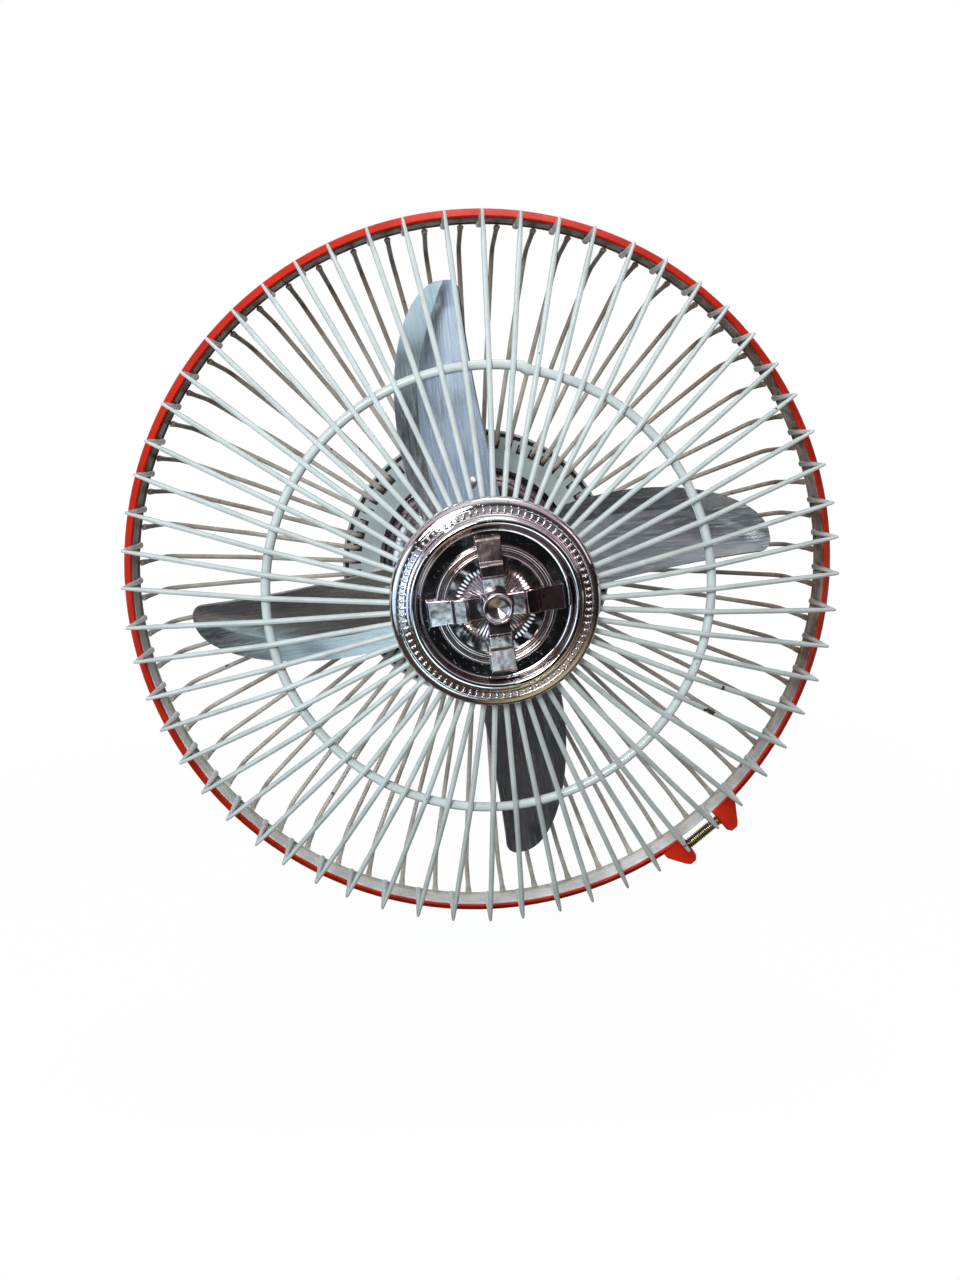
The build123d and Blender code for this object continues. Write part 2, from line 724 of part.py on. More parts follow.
grip = spider_sheet + blade_sheet
with BuildPart() as blade_rivets:
    for angle in blade_angles:
        arm_back = arm_plane(angle).offset(-spider_sheet / 2)
        with BuildSketch(arm_back):
            with Locations(*[(u, 0) for u in rivet_places]):
                RegularPolygon(rivet_radius, small_sides, major_radius=False)
        extrude(amount=grip)
        with BuildSketch(arm_back, arm_back.offset(grip + rivet_head_height)):
            with Locations(*[(u, 0) for u in rivet_places]):
                RegularPolygon(rivet_head, small_sides, major_radius=False)
        extrude(amount=-rivet_head_height)
blade_rivets.part.label = "blade_rivets"
export_step(blade_rivets.part, "parts/blade_rivets.step")

# Rotor boss with a flange under the spider and a grub screw on the shaft's flat
boss_back_at = spider_at - rotor_boss_back
spider_back_at = spider_at - spider_sheet / 2
grub_turn = blade_phase + 180 / blade_count
grub_plane = Plane(
    origin=rim.from_local_coords((0, 0, boss_back_at + grub_rise)),
    x_dir=rim.z_dir,
    z_dir=turned(grub_turn).x_dir,
)
with BuildPart() as rotor_hub:
    with BuildSketch(rim.offset(boss_back_at)):
        Circle(rotor_boss_radius)
    extrude(amount=rotor_boss_back + rotor_boss_front)
    with BuildSketch(rim.offset(spider_back_at)):
        Circle(rotor_flange_radius)
    extrude(amount=-rotor_flange_sheet)
    with BuildSketch(rim.offset(boss_back_at)):
        Circle(shaft_radius + running_gap)
    extrude(amount=rotor_boss_back + rotor_boss_front, mode=Mode.SUBTRACT)
    with BuildSketch(grub_plane):
        Circle(grub_radius + running_gap)
    extrude(amount=2 * rotor_boss_radius, mode=Mode.SUBTRACT)
rotor_hub.part.label = "rotor_hub"
export_step(rotor_hub.part, "parts/rotor_hub.step")

with BuildPart() as hub_grub_screw:
    with BuildSketch(grub_plane.offset(shaft_radius - shaft_flat + running_gap)):
        Circle(grub_radius)
    extrude(amount=rotor_boss_radius - shaft_radius)
hub_grub_screw.part.label = "hub_grub_screw"
export_step(hub_grub_screw.part, "parts/hub_grub_screw.step")

# Motor: places along its axis, from the front flange to the rear boss
flange_back_at = plate_back_at - flange_sheet
can_front_at = flange_back_at - free_gap
can_back_at = can_front_at - can_length
can_inner = can_radius - can_sheet
skirt_inner_radius = can_radius + skirt_gap
skirt_radius = skirt_inner_radius + cover_sheet
crown_front_at = plate_back_at + dome_rise
bush_front_at = crown_front_at + front_boss_rise
bush_back_at = bush_front_at - bush_length
bush_bore = shaft_radius + running_gap
bush_seat = bush_radius + running_gap
armature_at = armature_shift - tilt_back
core_front_at = armature_at + armature_length / 2
core_back_at = armature_at - armature_length / 2
cover_back_at = can_back_at - cover_sheet
rear_floor_at = can_back_at - rear_dome_rise
rear_bush_back_at = rear_floor_at - bush_length
rear_boss_back_at = rear_bush_back_at - rear_boss_floor
shaft_back_at = rear_bush_back_at + seat_gap
bolt_places = [(0, bolt_circle_radius), (0, -bolt_circle_radius)]

# Front bell: flange for the guard, skirt over the can, bulged dome and bearing boss
dome_outside = bulged((dome_radius, plate_back_at), (crown_radius, crown_front_at), dome_bulge)
dome_inside = bulged(
    (can_inner, plate_back_at + dome_sheet / 2), (crown_radius, crown_front_at - dome_sheet), dome_bulge
)
with BuildPart() as motor_front_bell:
    with BuildSketch(rim.offset(can_front_at - bolt_radius)):
        with Locations(*bolt_places):
            Circle(bolt_boss_radius)
    extrude(amount=dome_rise)
    with BuildSketch(section):
        with BuildLine():
            Polyline(
                *dome_outside,
                (crown_radius, bush_front_at),
                (dome_radius, bush_front_at),
                close=True,
            )
        make_face()
    revolve(axis=Axis.Y, mode=Mode.SUBTRACT)
    with BuildSketch(section):
        with BuildLine():
            Polyline(
                *dome_outside,
                (front_boss_radius, crown_front_at),
                (front_boss_radius, bush_front_at),
                (bush_seat, bush_front_at),
                (bush_seat, bush_back_at),
                (front_boss_radius, bush_back_at),
                (front_boss_radius + dome_sheet, crown_front_at - dome_sheet),
                *reversed(dome_inside),
                (can_inner, can_front_at),
                (skirt_inner_radius, can_front_at),
                (skirt_inner_radius, can_front_at - skirt_length),
                (skirt_radius, can_front_at - skirt_length),
                (skirt_radius, flange_back_at),
                (flange_radius, flange_back_at),
                (flange_radius, plate_back_at),
                close=True,
            )
        make_face()
    revolve(axis=Axis.Y)
    with BuildSketch(rim.offset(can_front_at - bolt_radius)):
        with Locations(*bolt_places):
            Circle(bolt_radius + running_gap)
    extrude(amount=dome_rise / 2, mode=Mode.SUBTRACT)
    with BuildSketch(rim.offset(plate_back_at)):
        with PolarLocations(guard_screw_circle_radius, guard_screw_count, guard_screw_angle):
            Circle(guard_screw_radius + running_gap)
    extrude(amount=-flange_sheet, mode=Mode.SUBTRACT)
motor_front_bell.part.label = "motor_front_bell"
export_step(motor_front_bell.part, "parts/motor_front_bell.step")

with BuildPart() as motor_can:
    with BuildSketch(rim.offset(can_back_at)):
        Circle(can_radius)
        Circle(can_inner, mode=Mode.SUBTRACT)
    extrude(amount=can_length)
    with BuildSketch(pivot):
        Circle(tilt_boss_radius + running_gap)
    extrude(amount=can_radius, both=True, mode=Mode.SUBTRACT)
motor_can.part.label = "motor_can"
export_step(motor_can.part, "parts/motor_can.step")

grommet_place = round_points(grommet_circle_radius, 1, grommet_angle)
with BuildPart() as motor_rear_cover:
    with BuildSketch(section):
        with BuildLine():
            Polyline(
                (skirt_radius, can_back_at + skirt_length),
                (skirt_radius, cover_back_at),
                (rear_dome_radius, cover_back_at),
                (rear_dome_radius - rear_dome_rise, rear_floor_at - cover_sheet),
                (rear_boss_radius, rear_floor_at - cover_sheet),
                (rear_boss_radius, rear_boss_back_at),
                (0, rear_boss_back_at),
                (0, rear_bush_back_at),
                (bush_seat, rear_bush_back_at),
                (bush_seat, rear_floor_at),
                (rear_dome_radius - rear_dome_rise - cover_sheet / 2, rear_floor_at),
                (rear_dome_radius - cover_sheet / 2, can_back_at),
                (skirt_inner_radius, can_back_at),
                (skirt_inner_radius, can_back_at + skirt_length),
                close=True,
            )
        make_face()
    revolve(axis=Axis.Y)
    with BuildSketch(rim.offset(can_back_at)):
        with Locations(*bolt_places):
            Circle(bolt_radius + seat_gap)
        with Locations(*grommet_place):
            Circle(grommet_radius + running_gap)
    extrude(amount=-cover_sheet, mode=Mode.SUBTRACT)
motor_rear_cover.part.label = "motor_rear_cover"
export_step(motor_rear_cover.part, "parts/motor_rear_cover.step")

with BuildPart() as lead_grommet:
    with BuildSketch(rim.offset(cover_back_at)):
        with Locations(*grommet_place):
            Circle(grommet_radius)
    extrude(amount=cover_sheet)
    with BuildSketch(rim.offset(cover_back_at - grommet_lip), rim.offset(can_back_at)):
        with Locations(*grommet_place):
            Circle(grommet_radius + grommet_lip)
    extrude(amount=grommet_lip)
    with BuildSketch(rim.offset(cover_back_at - grommet_lip)):
        with Locations(*grommet_place):
            Circle(grommet_bore)
    extrude(amount=cover_sheet + 2 * grommet_lip, mode=Mode.SUBTRACT)
lead_grommet.part.label = "lead_grommet"
export_step(lead_grommet.part, "parts/lead_grommet.step")

with BuildPart() as through_bolts:
    with BuildSketch(rim.offset(cover_back_at)):
        with Locations(*bolt_places):
            RegularPolygon(bolt_head, 6)
    extrude(amount=-bolt_head_height)
    with BuildSketch(rim.offset(cover_back_at)):
        with Locations(*bolt_places):
            Circle(bolt_radius)
    extrude(amount=can_front_at - cover_back_at + dome_rise / 4)
through_bolts.part.label = "through_bolts"
export_step(through_bolts.part, "parts/through_bolts.step")

with BuildPart() as front_bush:
    with BuildSketch(rim.offset(bush_back_at)):
        Circle(bush_radius)
        Circle(bush_bore, mode=Mode.SUBTRACT)
    extrude(amount=bush_length)
front_bush.part.label = "front_bush"
export_step(front_bush.part, "parts/front_bush.step")

with BuildPart() as rear_bush:
    with BuildSketch(rim.offset(rear_bush_back_at)):
        Circle(bush_radius)
        Circle(bush_bore, mode=Mode.SUBTRACT)
    extrude(amount=bush_length)
rear_bush.part.label = "rear_bush"
export_step(rear_bush.part, "parts/rear_bush.step")

with BuildPart() as motor_shaft:
    with BuildSketch(rim.offset(shaft_back_at)):
        Circle(shaft_radius)
    extrude(amount=shaft_front_at - shaft_back_at)
    with BuildSketch(turned(grub_turn).offset(boss_back_at)):
        with Locations((2 * shaft_radius - shaft_flat, 0)):
            Rectangle(2 * shaft_radius, 2 * shaft_radius)
    extrude(amount=shaft_front_at - boss_back_at, mode=Mode.SUBTRACT)
motor_shaft.part.label = "motor_shaft"
export_step(motor_shaft.part, "parts/motor_shaft.step")

# Field magnets: two arcs bonded inside the can, either side of the through bolts
magnet_radius = can_inner - magnet_gap
with BuildPart() as field_magnets:
    with BuildSketch(section_at(-magnet_half_angle)):
        with Locations((magnet_radius - magnet_sheet / 2, armature_at)):
            Rectangle(magnet_sheet, magnet_length)
    revolve(axis=forward_axis, revolution_arc=2 * magnet_half_angle)
    mirror(about=Plane.YZ)
field_magnets.part.label = "field_magnets"
export_step(field_magnets.part, "parts/field_magnets.step")

with BuildPart() as armature_core:
    with BuildSketch(rim.offset(core_back_at)):
        Circle(armature_radius)
        with PolarLocations(slot_circle_radius, armature_slots):
            RegularPolygon(slot_radius, slot_sides, mode=Mode.SUBTRACT)
        with PolarLocations(armature_radius, armature_slots):
            Rectangle(armature_radius - slot_circle_radius, slot_mouth, mode=Mode.SUBTRACT)
        Circle(shaft_radius + running_gap, mode=Mode.SUBTRACT)
    extrude(amount=armature_length)
armature_core.part.label = "armature_core"
export_step(armature_core.part, "parts/armature_core.step")

with BuildPart() as armature_windings:
    with BuildSketch(rim.offset(core_back_at - winding_overhang), rim.offset(core_front_at)):
        Circle(slot_circle_radius + slot_radius)
        Circle(winding_inner, mode=Mode.SUBTRACT)
    extrude(amount=winding_overhang)
    with BuildSketch(rim.offset(core_back_at)):
        with PolarLocations(slot_circle_radius, armature_slots):
            RegularPolygon(slot_radius - winding_gap, slot_sides)
    extrude(amount=armature_length)
armature_windings.part.label = "armature_windings"
export_step(armature_windings.part, "parts/armature_windings.step")

# Commutator: grooved drum on a neck that meets the core
commutator_front_at = core_back_at - commutator_neck_length
commutator_back_at = commutator_front_at - commutator_length
with BuildPart() as commutator:
    with BuildSketch(rim.offset(commutator_front_at)):
        Circle(commutator_neck_radius)
    extrude(amount=commutator_neck_length)
    with BuildSketch(rim.offset(commutator_back_at)):
        Circle(commutator_radius)
        with PolarLocations(commutator_radius, commutator_bars, 180 / commutator_bars):
            Rectangle(2 * commutator_groove, commutator_groove, mode=Mode.SUBTRACT)
    extrude(amount=commutator_length)
    with BuildSketch(rim.offset(commutator_back_at)):
        Circle(shaft_radius + running_gap)
    extrude(amount=commutator_length + commutator_neck_length, mode=Mode.SUBTRACT)
commutator.part.label = "commutator"
export_step(commutator.part, "parts/commutator.step")

with BuildPart() as shaft_spacers:
    with BuildSketch(rim.offset(core_front_at)):
        Circle(spacer_radius)
        Circle(shaft_radius + running_gap, mode=Mode.SUBTRACT)
    extrude(amount=bush_back_at - end_play - core_front_at)
    with BuildSketch(rim.offset(commutator_back_at)):
        Circle(spacer_radius)
        Circle(shaft_radius + running_gap, mode=Mode.SUBTRACT)
    extrude(amount=rear_floor_at + end_play - commutator_back_at)
shaft_spacers.part.label = "shaft_spacers"
export_step(shaft_spacers.part, "parts/shaft_spacers.step")

# Brush gear: an insulating plate with two boxes, each with its brush and spring
plate_seat_at = can_back_at + seat_gap
box_floor_at = plate_seat_at + brush_plate_sheet
box_size = brush_size + 2 * (brush_box_wall + seat_gap)
brush_at = box_floor_at + box_size / 2
brush_inner = commutator_radius + running_gap
brush_outer = brush_inner + brush_length
box_inner = commutator_radius + 3 * free_gap
box_end = brush_box_radius - brush_box_wall
brush_plane = Plane(origin=rim.from_local_coords((0, 0, brush_at)), x_dir=(0, 0, 1), z_dir=(1, 0, 0))
with BuildPart() as brush_plate:
    with BuildSketch(rim.offset(plate_seat_at)):
        Circle(brush_plate_radius)
        Circle(commutator_radius + brush_plate_room, mode=Mode.SUBTRACT)
        with Locations(*bolt_places):
            Circle(bolt_radius + seat_gap, mode=Mode.SUBTRACT)
        with Locations(*grommet_place):
            Circle(grommet_radius + 2 * grommet_lip, mode=Mode.SUBTRACT)
    extrude(amount=brush_plate_sheet)
brush_plate.part.label = "brush_plate"
export_step(brush_plate.part, "parts/brush_plate.step")

with BuildPart() as brush_boxes:
    with BuildSketch(brush_plane.offset(box_inner)):
        Rectangle(box_size, box_size)
    extrude(amount=brush_box_radius - box_inner)
    with BuildSketch(brush_plane.offset(box_inner)):
        Rectangle(brush_size + 2 * seat_gap, brush_size + 2 * seat_gap)
    extrude(amount=box_end - box_inner, mode=Mode.SUBTRACT)
    mirror(about=Plane.YZ)
brush_boxes.part.label = "brush_boxes"
export_step(brush_boxes.part, "parts/brush_boxes.step")

with BuildPart() as brushes:
    with BuildSketch(brush_plane):
        Rectangle(brush_size, brush_size)
    extrude(amount=brush_outer)
    with BuildSketch(rim.offset(brush_at - brush_size)):
        Circle(brush_inner)
    extrude(amount=2 * brush_size, mode=Mode.SUBTRACT)
    mirror(about=Plane.YZ)
brushes.part.label = "brushes"
export_step(brushes.part, "parts/brushes.step")

with BuildPart() as brush_springs:
    with BuildSketch(brush_plane.offset(brush_outer + running_gap)):
        Circle(spring_radius)
        Circle(spring_radius - spring_wire, mode=Mode.SUBTRACT)
    extrude(amount=box_end - brush_outer - 2 * running_gap)
    mirror(about=Plane.YZ)
brush_springs.part.label = "brush_springs"
export_step(brush_springs.part, "parts/brush_springs.step")

# Tilt pivots: a threaded boss welded into each side of the can
boss_face_x = can_radius + tilt_boss_out
with BuildPart() as tilt_bosses:
    with BuildSketch(pivot.offset(can_inner + seat_gap)):
        Circle(tilt_boss_radius)
        Circle(stud_radius + running_gap, mode=Mode.SUBTRACT)
    extrude(amount=boss_face_x - can_inner - seat_gap)
    mirror(about=Plane.YZ)
tilt_bosses.part.label = "tilt_bosses"
export_step(tilt_bosses.part, "parts/tilt_bosses.step")

# Foot: a dished disc, and the swivel stack in front of it
washer_front = foot_dish_height + swivel_washer_sheet
web_back = washer_front + seat_gap
web_front = web_back + yoke_sheet
nut_back = web_front + seat_gap
with BuildPart() as foot_plate:
    with BuildSketch(Plane(origin=(0, 0, 0), x_dir=(1, 0, 0), z_dir=(0, 0, -1))):
        with BuildLine():
            Polyline(
                (swivel_radius + seat_gap, foot_dish_height),
                (foot_dish_top, foot_dish_height),
                (foot_dish_base, foot_sheet),
                (foot_radius, foot_sheet),
            )
            offset(amount=foot_sheet, side=Side.RIGHT, kind=Kind.INTERSECTION)
        make_face()
    revolve(axis=Axis.Y)
    with BuildSketch(Plane.XZ):
        with PolarLocations(foot_hole_circle_radius, foot_holes, 90):
            Circle(foot_hole_radius)
    extrude(amount=foot_sheet, mode=Mode.SUBTRACT)
foot_plate.part.label = "foot_plate"
export_step(foot_plate.part, "parts/foot_plate.step")

with BuildPart() as swivel_bolt:
    with BuildSketch(Plane.XZ.offset(foot_dish_height - foot_sheet)):
        RegularPolygon(swivel_flats / 2, 6, major_radius=False)
    extrude(amount=-swivel_head_height)
    with BuildSketch(Plane.XZ.offset(foot_dish_height - foot_sheet)):
        Circle(swivel_radius)
    extrude(amount=nut_back + swivel_nut_height - foot_dish_height + foot_sheet)
swivel_bolt.part.label = "swivel_bolt"
export_step(swivel_bolt.part, "parts/swivel_bolt.step")

with BuildPart() as swivel_nut:
    with BuildSketch(Plane.XZ.offset(nut_back)):
        RegularPolygon(swivel_flats / 2, 6, major_radius=False)
        Circle(swivel_radius + running_gap, mode=Mode.SUBTRACT)
    extrude(amount=swivel_nut_height)
swivel_nut.part.label = "swivel_nut"
export_step(swivel_nut.part, "parts/swivel_nut.step")

with BuildPart() as swivel_washer:
    with BuildSketch(Plane.XZ.offset(foot_dish_height)):
        Circle(swivel_washer_radius)
        Circle(swivel_radius + seat_gap, mode=Mode.SUBTRACT)
    extrude(amount=swivel_washer_sheet)
swivel_washer.part.label = "swivel_washer"
export_step(swivel_washer.part, "parts/swivel_washer.step")

# Yoke: a flat strap bent to a U, rounded at the pivots
yoke_inner_x = boss_face_x + free_gap
yoke_outer_x = yoke_inner_x + yoke_sheet
yoke_end = yoke_width / 2
with BuildPart() as yoke:
    with BuildSketch(Plane.XY):
        with BuildLine():
            FilletPolyline(
                (yoke_inner_x, -tilt_height - yoke_end),
                (yoke_inner_x, -web_front),
                (-yoke_inner_x, -web_front),
                (-yoke_inner_x, -tilt_height - yoke_end),
                radius=yoke_bend,
            )
            offset(amount=yoke_sheet, side=Side.RIGHT)
        make_face()
    extrude(amount=yoke_end, both=True)
    with BuildSketch(pivot):
        Circle(yoke_end)
        with Locations((tilt_height / 2, 0)):
            Rectangle(tilt_height, yoke_width)
    extrude(amount=yoke_outer_x + yoke_end, both=True, mode=Mode.INTERSECT)
    with BuildSketch(pivot):
        Circle(stud_radius + seat_gap)
    extrude(amount=yoke_outer_x + yoke_end, both=True, mode=Mode.SUBTRACT)
    with BuildSketch(Plane.XZ.offset(web_back)):
        Circle(swivel_radius + seat_gap)
    extrude(amount=yoke_sheet, mode=Mode.SUBTRACT)
yoke.part.label = "yoke"
export_step(yoke.part, "parts/yoke.step")

with BuildPart() as tilt_washers:
    with BuildSketch(pivot.offset(yoke_outer_x)):
        Circle(washer_radius)
        Circle(stud_radius + seat_gap, mode=Mode.SUBTRACT)
    extrude(amount=washer_sheet)
    mirror(about=Plane.YZ)
tilt_washers.part.label = "tilt_washers"
export_step(tilt_washers.part, "parts/tilt_washers.step")

# Tilt knobs: fluted grip on a collar, with a stud through the yoke into the boss
knob_x = yoke_outer_x + washer_sheet + seat_gap
knob_end_x = knob_x + knob_collar + knob_grip
stud_start_x = can_inner + stud_inset
stud_end_x = knob_end_x - knob_collar
for side_name, side in (("left", -1), ("right", 1)):
    side_pivot = Plane(origin=pivot.origin, x_dir=pivot.x_dir, z_dir=(side, 0, 0))
    with BuildPart() as knob:
        with BuildSketch(side_pivot.offset(knob_x)):
            Circle(knob_collar_radius)
        extrude(amount=knob_collar)
        with BuildSketch(side_pivot.offset(knob_x + knob_collar)):
            Circle(knob_radius)
            with PolarLocations(knob_radius + knob_flute_radius / 2, knob_flutes):
                Circle(knob_flute_radius, mode=Mode.SUBTRACT)
        extrude(amount=knob_grip)
        chamfer(knob.edges().group_by(Axis(side_pivot.origin, side_pivot.z_dir))[-1], knob_ease)
        with BuildSketch(side_pivot.offset(knob_x)):
            Circle(stud_radius + running_gap)
        extrude(amount=stud_end_x - knob_x, mode=Mode.SUBTRACT)
    knob.part.label = f"{side_name}_knob"
    export_step(knob.part, f"parts/{side_name}_knob.step")

    with BuildPart() as knob_stud:
        with BuildSketch(side_pivot.offset(stud_start_x)):
            Circle(stud_radius)
        extrude(amount=stud_end_x - stud_start_x)
    knob_stud.part.label = f"{side_name}_knob_stud"
    export_step(knob_stud.part, f"parts/{side_name}_knob_stud.step")
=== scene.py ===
from math import asin, atan2, cos, pi, radians, sin, sqrt, tan

import bmesh
import bpy
from mathutils import Matrix, Vector


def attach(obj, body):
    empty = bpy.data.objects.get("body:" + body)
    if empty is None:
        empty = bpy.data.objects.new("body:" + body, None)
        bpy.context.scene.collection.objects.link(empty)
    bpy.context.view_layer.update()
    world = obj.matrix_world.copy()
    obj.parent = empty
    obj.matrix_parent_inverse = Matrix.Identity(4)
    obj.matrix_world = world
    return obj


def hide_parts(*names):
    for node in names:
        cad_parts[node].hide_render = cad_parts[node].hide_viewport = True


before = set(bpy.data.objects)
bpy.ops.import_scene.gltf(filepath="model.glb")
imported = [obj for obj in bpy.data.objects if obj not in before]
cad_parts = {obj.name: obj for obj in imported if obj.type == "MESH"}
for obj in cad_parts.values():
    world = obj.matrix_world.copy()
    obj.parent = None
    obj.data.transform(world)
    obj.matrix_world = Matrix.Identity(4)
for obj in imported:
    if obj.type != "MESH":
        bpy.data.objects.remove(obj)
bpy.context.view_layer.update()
scene = bpy.context.scene

# The view: a plain lens a little above the fan and to its left, as in the photograph.
# The picture is 960 by 1280, so the sensor's width belongs to the tall side.
eye = bpy.data.cameras.new("Eye")
eye.sensor_width = 36.0
eye.lens = 42.19
camera = bpy.data.objects.new("Eye", eye)
camera.location = (-0.036, -0.626, 0.080)
camera.rotation_euler = (radians(78.7), 0, radians(-3.9))
scene.collection.objects.link(camera)
scene.camera = camera
scene.view_settings.view_transform = "Standard"

# The surroundings: white behind the fan, as the camera and the plated parts see it, and dim in front.
# Soft patches of light, tint and dark all round are what the plated parts mirror.
PAPER = (1.0, 1.0, 1.0, 1)
DIM_WALL = (0.080, 0.074, 0.076, 1)
DARK_FLOOR = (0.085, 0.056, 0.042, 1)
SOFTENING = 0.60


def feed(tree, socket, value):
    """Links another socket to this one, or sets a plain value on it."""
    if isinstance(value, bpy.types.NodeSocket):
        tree.links.new(value, socket)
    else:
        socket.default_value = value


def put(tree, kind, **wanted):
    """Adds a shader node; a name in small letters is an option of it, and any other is a socket."""
    made = tree.nodes.new("ShaderNode" + kind)
    options = {k: v for k, v in wanted.items() if k[0].islower()}
    for name, value in options.items():
        setattr(made, name, value)
    for name, value in wanted.items():
        if name not in options:
            socket = next(s for s in made.inputs if s.name == name.replace("_", " ") and s.enabled)
            feed(tree, socket, value)
    return made


def out(node, name=None):
    """The output of a node that is in use, by name where it has several."""
    return next(s for s in node.outputs if s.enabled and name in (None, s.name))


def blended(tree, factor, first, second):
    """One colour mixed into another."""
    return out(put(tree, "Mix", data_type="RGBA", Factor=factor, A=first, B=second), "Result")


def spread(tree, value, low, high, to_low=0.0, to_high=1.0):
    """A value stretched from one range to another, and held inside it."""
    stretch = put(tree, "MapRange", Value=value, From_Min=low, From_Max=high, To_Min=to_low, To_Max=to_high)
    return out(stretch)


def combined(tree, operation, *values):
    """Two values put together by a math node."""
    made = put(tree, "Math", operation=operation)
    for socket, value in zip(made.inputs, values):
        feed(tree, socket, value)
    return out(made)


world = bpy.data.worlds.new("Room")
world.use_nodes = True
scene.world = world
room = world.node_tree
room.nodes.clear()
toward = out(put(room, "TexCoord"), "Generated")
axes = put(room, "SeparateXYZ", Vector=toward)


def patch(seen, place, inner, outer, colour):
    """Paints a soft round patch, full inside one angle from its middle and gone at another."""
    near = put(room, "VectorMath", operation="DOT_PRODUCT", Vector=toward)
    near.inputs[1].default_value = Vector(place).normalized()
    inside = spread(room, out(near, "Value"), cos(radians(outer)), cos(radians(inner)))
    return blended(room, inside, seen, colour)


painted = blended(room, spread(room, out(axes, "Z"), -0.75, -0.25), DARK_FLOOR, DIM_WALL)
for place, inner, outer, colour in (
    ((0.0, -0.1, 1.0), 24, 52, (1.20, 1.24, 1.28, 1)),  # overhead
    ((-0.82, -0.55, 0.02), 17, 27, (1.20, 1.50, 1.86, 1)),  # bright, on the left
    ((-0.75, 0.0, 0.62), 10, 32, (0.92, 0.76, 0.86, 1)),  # lilac, at the upper left
    ((0.62, -0.35, 0.66), 8, 26, (0.86, 0.64, 0.78, 1)),  # lilac, at the upper right
    ((0.50, -0.40, -0.75), 12, 36, (0.66, 0.53, 0.34, 1)),  # tan, at the lower right
    ((1.0, -0.25, -0.05), 14, 40, (0.030, 0.022, 0.018, 1)),  # dark, on the right
    ((0.02, -0.98, -0.12), 13, 25, (0.010, 0.010, 0.011, 1)),  # dark, straight in front
    ((-0.16, -0.88, -0.47), 9, 19, (2.40, 3.05, 3.20, 1)),  # bright, low in front
):
    painted = patch(painted, place, inner, outer, colour)
mirrored = patch(painted, (0.0, 1.0, 0.0), 40, 58, PAPER)
path = put(room, "LightPath")
shiny = combined(room, "MAXIMUM", out(path, "Is Glossy Ray"), out(path, "Is Transmission Ray"))
softened = blended(room, SOFTENING, painted, (0.0, 0.0, 0.0, 1))
around = blended(room, shiny, softened, mirrored)
shown_room = blended(room, out(path, "Is Camera Ray"), around, PAPER)
put(room, "OutputWorld", Surface=out(put(room, "Background", Color=shown_room, Strength=1.0)))


# Lamps: one strong soft lamp above and in front, and weak ones on the left, on the right and on top.
def softbox(name, place, size, watts, tint):
    """A square soft lamp that faces the middle of the guard."""
    lamp = bpy.data.lights.new(name, "AREA")
    lamp.size = size
    lamp.energy = watts
    lamp.color = tint
    stand = bpy.data.objects.new(name, lamp)
    stand.location = place
    aim = Vector((0, -0.12, 0)) - Vector(place)
    stand.rotation_euler = aim.to_track_quat("-Z", "Y").to_euler()
    scene.collection.objects.link(stand)


softbox("Lamp_above", (-0.50, -1.72, 0.76), 0.60, 29.0, (1.0, 0.99, 0.97))
softbox("Lamp_left", (-0.95, -0.75, 0.20), 0.5, 1.2, (0.90, 0.96, 1.0))
softbox("Lamp_right", (0.95, -0.50, 0.45), 0.5, 1.0, (1.0, 0.95, 0.92))
softbox("Lamp_top", (0.10, 0.15, 1.05), 0.5, 3.5, (1.0, 1.0, 1.0))

# The floor: a wide pale sheet well below the fan, so that the head can tilt over it.
# It is lifted to white where the camera or a plated part looks at it, and keeps a faint shadow.
FLOOR_LEVEL = -0.160
FLOOR_COLOUR = (0.085, 0.058, 0.048, 1)
FLOOR_LIFT = (0.965, 0.985, 0.992, 1)
floor_shape = bmesh.new()
bmesh.ops.create_grid(floor_shape, x_segments=1, y_segments=1, size=1.0)
floor_at = Matrix.Translation((0, 1.80, FLOOR_LEVEL)) @ Matrix.Diagonal((4.0, 2.0, 1.0, 1.0))
bmesh.ops.transform(floor_shape, matrix=floor_at, verts=floor_shape.verts)
floor_mesh = bpy.data.meshes.new("Floor")
floor_shape.to_mesh(floor_mesh)
floor_shape.free()
floor_paint = bpy.data.materials.new("Floor sheet")
floor_paint.use_nodes = True
sheet = floor_paint.node_tree
sheet.nodes.clear()
floor_place = out(put(sheet, "TexCoord"), "Object")
from_fan = put(sheet, "VectorMath", operation="LENGTH", Vector=floor_place)
matt = put(sheet, "BsdfDiffuse", Color=FLOOR_COLOUR)
lifted = spread(sheet, out(from_fan, "Value"), 0.30, 1.0, 0.965, 1.03)
lift = put(sheet, "Emission", Color=FLOOR_LIFT, Strength=lifted)
both = put(sheet, "AddShader")
sheet.links.new(out(matt), both.inputs[0])
sheet.links.new(out(lift), both.inputs[1])
sheet_path = put(sheet, "LightPath")
behind_fan = spread(sheet, out(put(sheet, "SeparateXYZ", Vector=floor_place), "Y"), -0.05, 0.30)
mirror_view = combined(sheet, "MULTIPLY", out(sheet_path, "Is Glossy Ray"), behind_fan)
looked_at = combined(sheet, "MAXIMUM", out(sheet_path, "Is Camera Ray"), mirror_view)
shown = put(sheet, "MixShader")
sheet.links.new(looked_at, shown.inputs[0])
sheet.links.new(out(matt), shown.inputs[1])
sheet.links.new(out(both), shown.inputs[2])
put(sheet, "OutputMaterial", Surface=out(shown))
floor_mesh.materials.append(floor_paint)
floor = bpy.data.objects.new("Floor", floor_mesh)
scene.collection.objects.link(floor)

# Foot: a round pressed steel plate with a dished middle and three screw holes.
# It is stamped from 2 mm sheet, its edges are rolled over, and it is sprayed dark grey.
SHARP_EDGE = radians(34)
CRISP_EDGE = radians(25)


